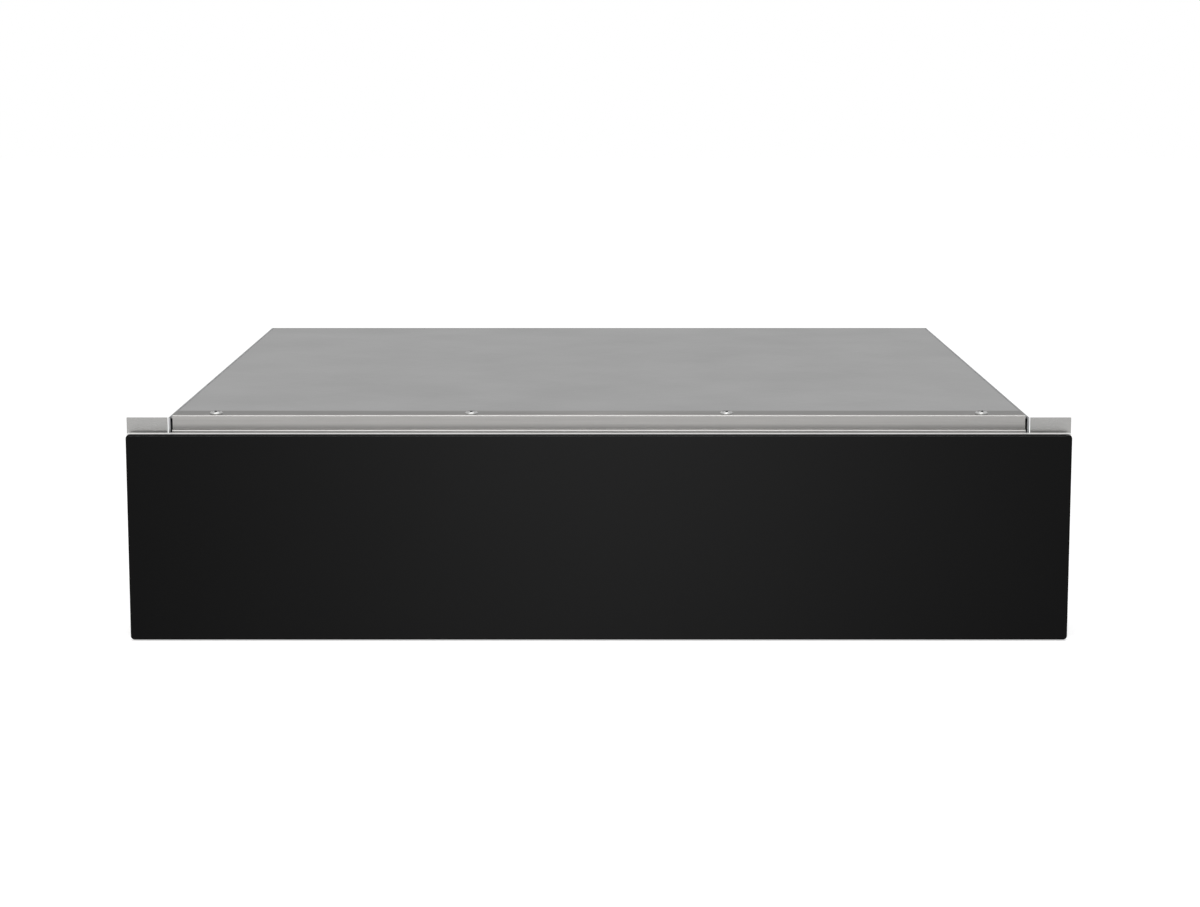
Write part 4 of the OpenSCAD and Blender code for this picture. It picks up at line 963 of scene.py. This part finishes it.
def pan_screw(radius, height, stem):
    """A pan-head screw along +Z with a cross recess; its seat is at z = 0."""
    work = bmesh.new()
    angles = around(SCREW_SIDES)

    def cross(angle):
        fold = abs((angle + math.pi / 4) % (math.pi / 2) - math.pi / 4)
        return radius * min(RECESS_REACH / math.cos(fold), RECESS_HALF / max(math.sin(fold), 1e-6))

    def dome(reach):
        return height * (1 - DOME_DROP * (reach / radius / DOME_SHARES[-1]) ** 2)

    def ring(reaches, level=dome):
        return [work.verts.new((r * math.cos(a), r * math.sin(a), level(r)))
                for a, r in zip(angles, reaches)]

    def circle(share, level=dome):
        return ring([radius * share] * SCREW_SIDES, level)

    mouth = [cross(angle) for angle in angles]
    floor = [RECESS_TAPER * reach for reach in mouth]
    recess = ring(floor, lambda reach: height * (1 - RECESS_DEPTH))
    rings = [recess, ring(mouth), *(circle(share) for share in DOME_SHARES)]
    rings += [circle(share, lambda reach: height * rise) for share, rise in RIM]
    rings += [circle(STEM_SHARE, lambda reach: level) for level in (0, -stem)]
    # The recess's walls and floor take the second finish, the painted shade.
    for face in bridged(work, rings)[:SCREW_SIDES]:
        face.material_index = 1
    work.faces.new(recess).material_index = 1
    work.faces.new(rings[-1])
    return mesh_of(work)


def blind_rivet(radius, height, stem):
    """A domed blind rivet along +Z, with its broken-off mandrel in the middle."""
    dome = [(radius * share, height * rise) for share, rise in RIVET_DOME]
    return turned(dome + [(radius, 0.02 * MM), (radius * 0.98, 0), (radius * 0.5, 0),
                          (radius * 0.5, -stem), (0, -stem)], sides=32)


def make_fasteners(node, form, axis, seat, body, turn=31):
    """Puts a detailed fastener on each of a node's solids, with its head over a seat.

    An axis along x is the right side's, and is turned about on the left. Each fastener is turned
    a little further than the one before, by an angle in degrees."""
    meshes = []
    for index, (low, high) in enumerate(solids_of(node)):
        centre = (low + high) / 2
        direction = -axis if axis.x and centre.x < 0 else axis
        along = [abs(value) for value in direction]
        across = [size for size, share in zip(high - low, along) if share < 0.5]
        reach = (high - low).dot(Vector(along)) / 2
        middle = centre.dot(direction)
        head, stem = middle + reach - seat, seat - (middle - reach)
        made = form(max(across) / 2, head, stem)
        place = facing(direction, centre + direction * (seat - middle))
        spin = Matrix.Rotation(math.radians(turn * (index - 1)), 4, "Z")
        meshes.append(moved(made, place @ spin))
    # The screws' recesses get the painted shade.
    piece(node[:-1] + "_set", meshes, body, "screw_steel", replaces=[node], smooth=38,
          inside=PAINTED_RECESS_SHADE)


def make_all_fasteners():
    rail_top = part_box("front_rail")[1].z
    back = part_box("top_cover")[1].y
    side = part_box("right_side_panel")[1].x
    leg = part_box("flange_rivets")[1].x - RIVET_HEAD
    front_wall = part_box("drawer_front_wall")[1].y
    slide = -min(low.x for low, high in solids_of("slide_rivets") if low.x > 0) - RIVET_HEAD
    make_fasteners("rail_screws", pan_screw, Z_AXIS, rail_top, "case", 3)
    make_fasteners("case_screws", pan_screw, Y_AXIS, back, "case")
    make_fasteners("slide_screws", pan_screw, X_AXIS, side, "case")
    make_fasteners("front_screws", pan_screw, Y_AXIS, front_wall, "drawer")
    make_fasteners("flange_rivets", blind_rivet, X_AXIS, leg, "case")
    make_fasteners("slide_rivets", blind_rivet, -X_AXIS, slide, "drawer")


def make_feet():
    """Turned rubber feet with a rounded edge, a hollow under each, and their barbed stems."""
    meshes = []
    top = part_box("base_pan")[0].z
    for low, high in solids_of("feet"):
        radius = (high.x - low.x) / 2
        foot = turned([
            (0, 0.5 * MM), (radius * 0.42, 0.5 * MM), (radius * 0.5, 0),
            *mm([(-0.9, 0), (-0.25, 0.3), (0, 0.8)], (radius, 0)), (radius - 0.3 * MM, top),
            (2.5 * MM, top), *mm([(2.5, -1.2), (3.5, -1.2), (2.6, -0.1), (0, 0)], (0, high.z))])
        centre = (low + high) / 2
        meshes.append(moved_to(foot, Vector((centre.x, centre.y, 0))))
    piece("rubber_feet", meshes, "case", "black_rubber", replaces=["feet"])


# ---------- cable inlet, welds and beads ----------

GLAND_GRIPS = 12


def make_cable_gland():
    """The inlet's nut, with twelve grips around a smooth throat."""
    low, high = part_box("cable_gland")
    centre = ((low.x + high.x) / 2, 0, (low.z + high.z) / 2)
    head = (high.x - low.x) / 2
    body, bore = 7.5 * MM, 4.2 * MM      # radii
    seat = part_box("rear_panel")[1].y
    profile = [(bore, low.y), *mm([(-0.8, 0), (0, 0.8)], (body, low.y)), (body, seat), (head, seat),
               *mm([(0, -0.9), (-0.9, -0.15)], (head, high.y)),
               *mm([(2.4, 0), (0.7, -0.2), (0, -0.9)], (bore, high.y)), (bore, low.y)]
    nut = turned(profile, sides=144, flutes=GLAND_GRIPS, flute_depth=1.1 * MM, flute_rows=(4, 5, 6))
    piece("cable_gland_nut", moved(nut, facing(Y_AXIS, centre)), "case", "black_plastic",
          replaces=["cable_gland"])


WELD = [(0, -0.02), (1.43, -0.02), (2.08, 0.048), (2.392, 0.12), (2.6, 0.02), (2.6, -0.05),
        (0, -0.05)]
DRAWER_WELDS = 6         # along each side
CASE_WELDS = 7


def weld_row(count, start, end, half_width, heights, side_of):
    """Spot welds along the walls on both sides: the shallow ring each leaves on a sheet."""
    marks = []
    for index in range(count):
        y = start + (end - start) * index / (count - 1)
        for side in (-1, 1):
            for z in heights:
                marks.append(standing(WELD, (side * side_of, 0, 0), (side * half_width, y, z), 24))
    return marks


def make_weld_marks():
    """Spot welds that hold the walls' lips, on the drawer's inner walls and the case's sides."""
    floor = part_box("drawer_floor")[1]
    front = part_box("control_fascia")[1].y + 22 * MM
    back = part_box("rear_guard")[0].y - 20 * MM
    marks = weld_row(DRAWER_WELDS, front, back, floor.x, [floor.z + 7 * MM], -1)
    piece("drawer_welds", marks, "drawer", "box_steel", smooth=50)
    low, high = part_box("right_side_panel")
    marks = weld_row(CASE_WELDS, low.y + 60 * MM, high.y - 30 * MM, high.x,
                     [low.z + 6 * MM, high.z - 5 * MM], 1)
    piece("case_welds", marks, "case", "galvanised_steel", smooth=50)


BEAD_PLACES = (0.2, 0.4, 0.6, 0.8)       # of the base pan's depth
BEAD_INSET = 75 * MM
BEAD_RADIUS = 3.2 * MM
BEAD_FLATNESS = 0.38


def make_pan_beads():
    """Pressed stiffening beads under the base pan."""
    low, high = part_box("base_pan")
    beads = []
    half = high.x - BEAD_INSET
    for share in BEAD_PLACES:
        y = low.y + (high.y - low.y) * share
        run = tube([(x, y, low.z) for x in (-half, -half + 2 * MM, half - 2 * MM, half)],
                   BEAD_RADIUS, 16)
        for vertex in run.vertices:
            vertex.co.z = low.z + (vertex.co.z - low.z) * BEAD_FLATNESS
        beads.append(run)
    piece("base_pan_beads", beads, "case", "galvanised_steel", smooth=60)


# ---------- floor, lamps and world ----------

FLOOR_HALF = 7.0
FLOOR_LEVEL = -0.2 * MM
FLOOR_GLOW = (0.45, 0.65)    # what the floor adds for the camera, under the lamps and far from them
FLOOR_FADE = (0.8, 2.4)      # how far from the object the one and the other hold
WORLD_FILL = 0.50            # how bright the surroundings are as a light


def make_floor():
    """A pale floor that the camera sees as white, with the object's shadow on it."""
    mesh = bpy.data.meshes.new("floor")
    half = FLOOR_HALF
    corners = [(-half, -half, 0), (half, -half, 0), (half, half, 0), (-half, half, 0)]
    mesh.from_pydata(corners, [], [(0, 1, 2, 3)])
    floor = scene_object("floor", mesh)
    floor.location.z = FLOOR_LEVEL
    made = Finish("floor", grey(0.80), 0.9, specular=0.0)
    made.colours(made.noise(0.4, 2), [(0.3, grey(0.795)), (0.7, grey(0.805))])
    away = made.node("ShaderNodeVectorMath", {0: made.place}, operation="LENGTH").outputs["Value"]
    glow = made.node("ShaderNodeEmission", {
        "Color": (1, 1, 1, 1), "Strength": made.spread(away, *FLOOR_GLOW, *FLOOR_FADE)})
    plain = made.shader.outputs[0]
    glowing = made.node("ShaderNodeAddShader", {0: plain, 1: glow.outputs[0]}).outputs[0]
    mixed = made.node("ShaderNodeMixShader", {0: looked_at(made.tree), 1: plain, 2: glowing})
    made.tree.links.new(mixed.outputs[0], made.tree.nodes["Material Output"].inputs["Surface"])
    mesh.materials.append(made.material)


def make_world():
    """White surroundings for what looks at them, and a softer fill as a light."""
    world = bpy.data.worlds.new("studio")
    bpy.context.scene.world = world
    world.use_nodes = True
    tree = world.node_tree
    tree.nodes.clear()
    strength = add_node(tree, "ShaderNodeMapRange", {
        "Value": looked_at(tree), "To Min": WORLD_FILL, "To Max": 1.0}).outputs["Result"]
    background = add_node(tree, "ShaderNodeBackground", {
        "Color": (1, 1, 1, 1), "Strength": strength})
    add_node(tree, "ShaderNodeOutputWorld", {"Surface": background.outputs[0]})


def area_lamp(name, place, target, size, watts):
    data = bpy.data.lights.new(name, "AREA")
    data.shape = "RECTANGLE"
    data.size, data.size_y = size
    data.energy = watts
    lamp = scene_object(name, data)
    lamp.location = place
    lamp.rotation_euler = (Vector(target) - Vector(place)).to_track_quat("-Z", "Y").to_euler()
    lamp.visible_camera = False
    return lamp


def make_lamps():
    """A lamp overhead, one in front, and a soft glow that lights the black facing alone."""
    area_lamp("key", (0.10, -0.75, 2.1), (0, 0, 0.08), (1.5, 1.1), 20)
    area_lamp("front", (-0.50, -2.2, 1.3), (0, -0.28, 0.06), (2.6, 1.0), 20)
    glow = area_lamp("front_glow", (0.02, -2.3, 0.5), (0.02, -0.28, 0.06), (0.5, 0.8), 60)
    lit = bpy.data.collections.new("lit_by_front_glow")
    lit.objects.link(frame["nodes"]["front_facing"])
    glow.light_linking.receiver_collection = lit


# ---------- the scene ----------

make_camera()
make_world()
make_floor()
make_lamps()
dress_cad_nodes()
make_trailing_lead()
make_knob()
make_dial_print()
make_rocker()
make_pilot_lamp()
make_fan_motor()
make_harness()
make_cable_gland()
make_all_fasteners()
make_feet()
make_weld_marks()
make_pan_beads()

bpy.context.scene.view_settings.view_transform = "Standard"
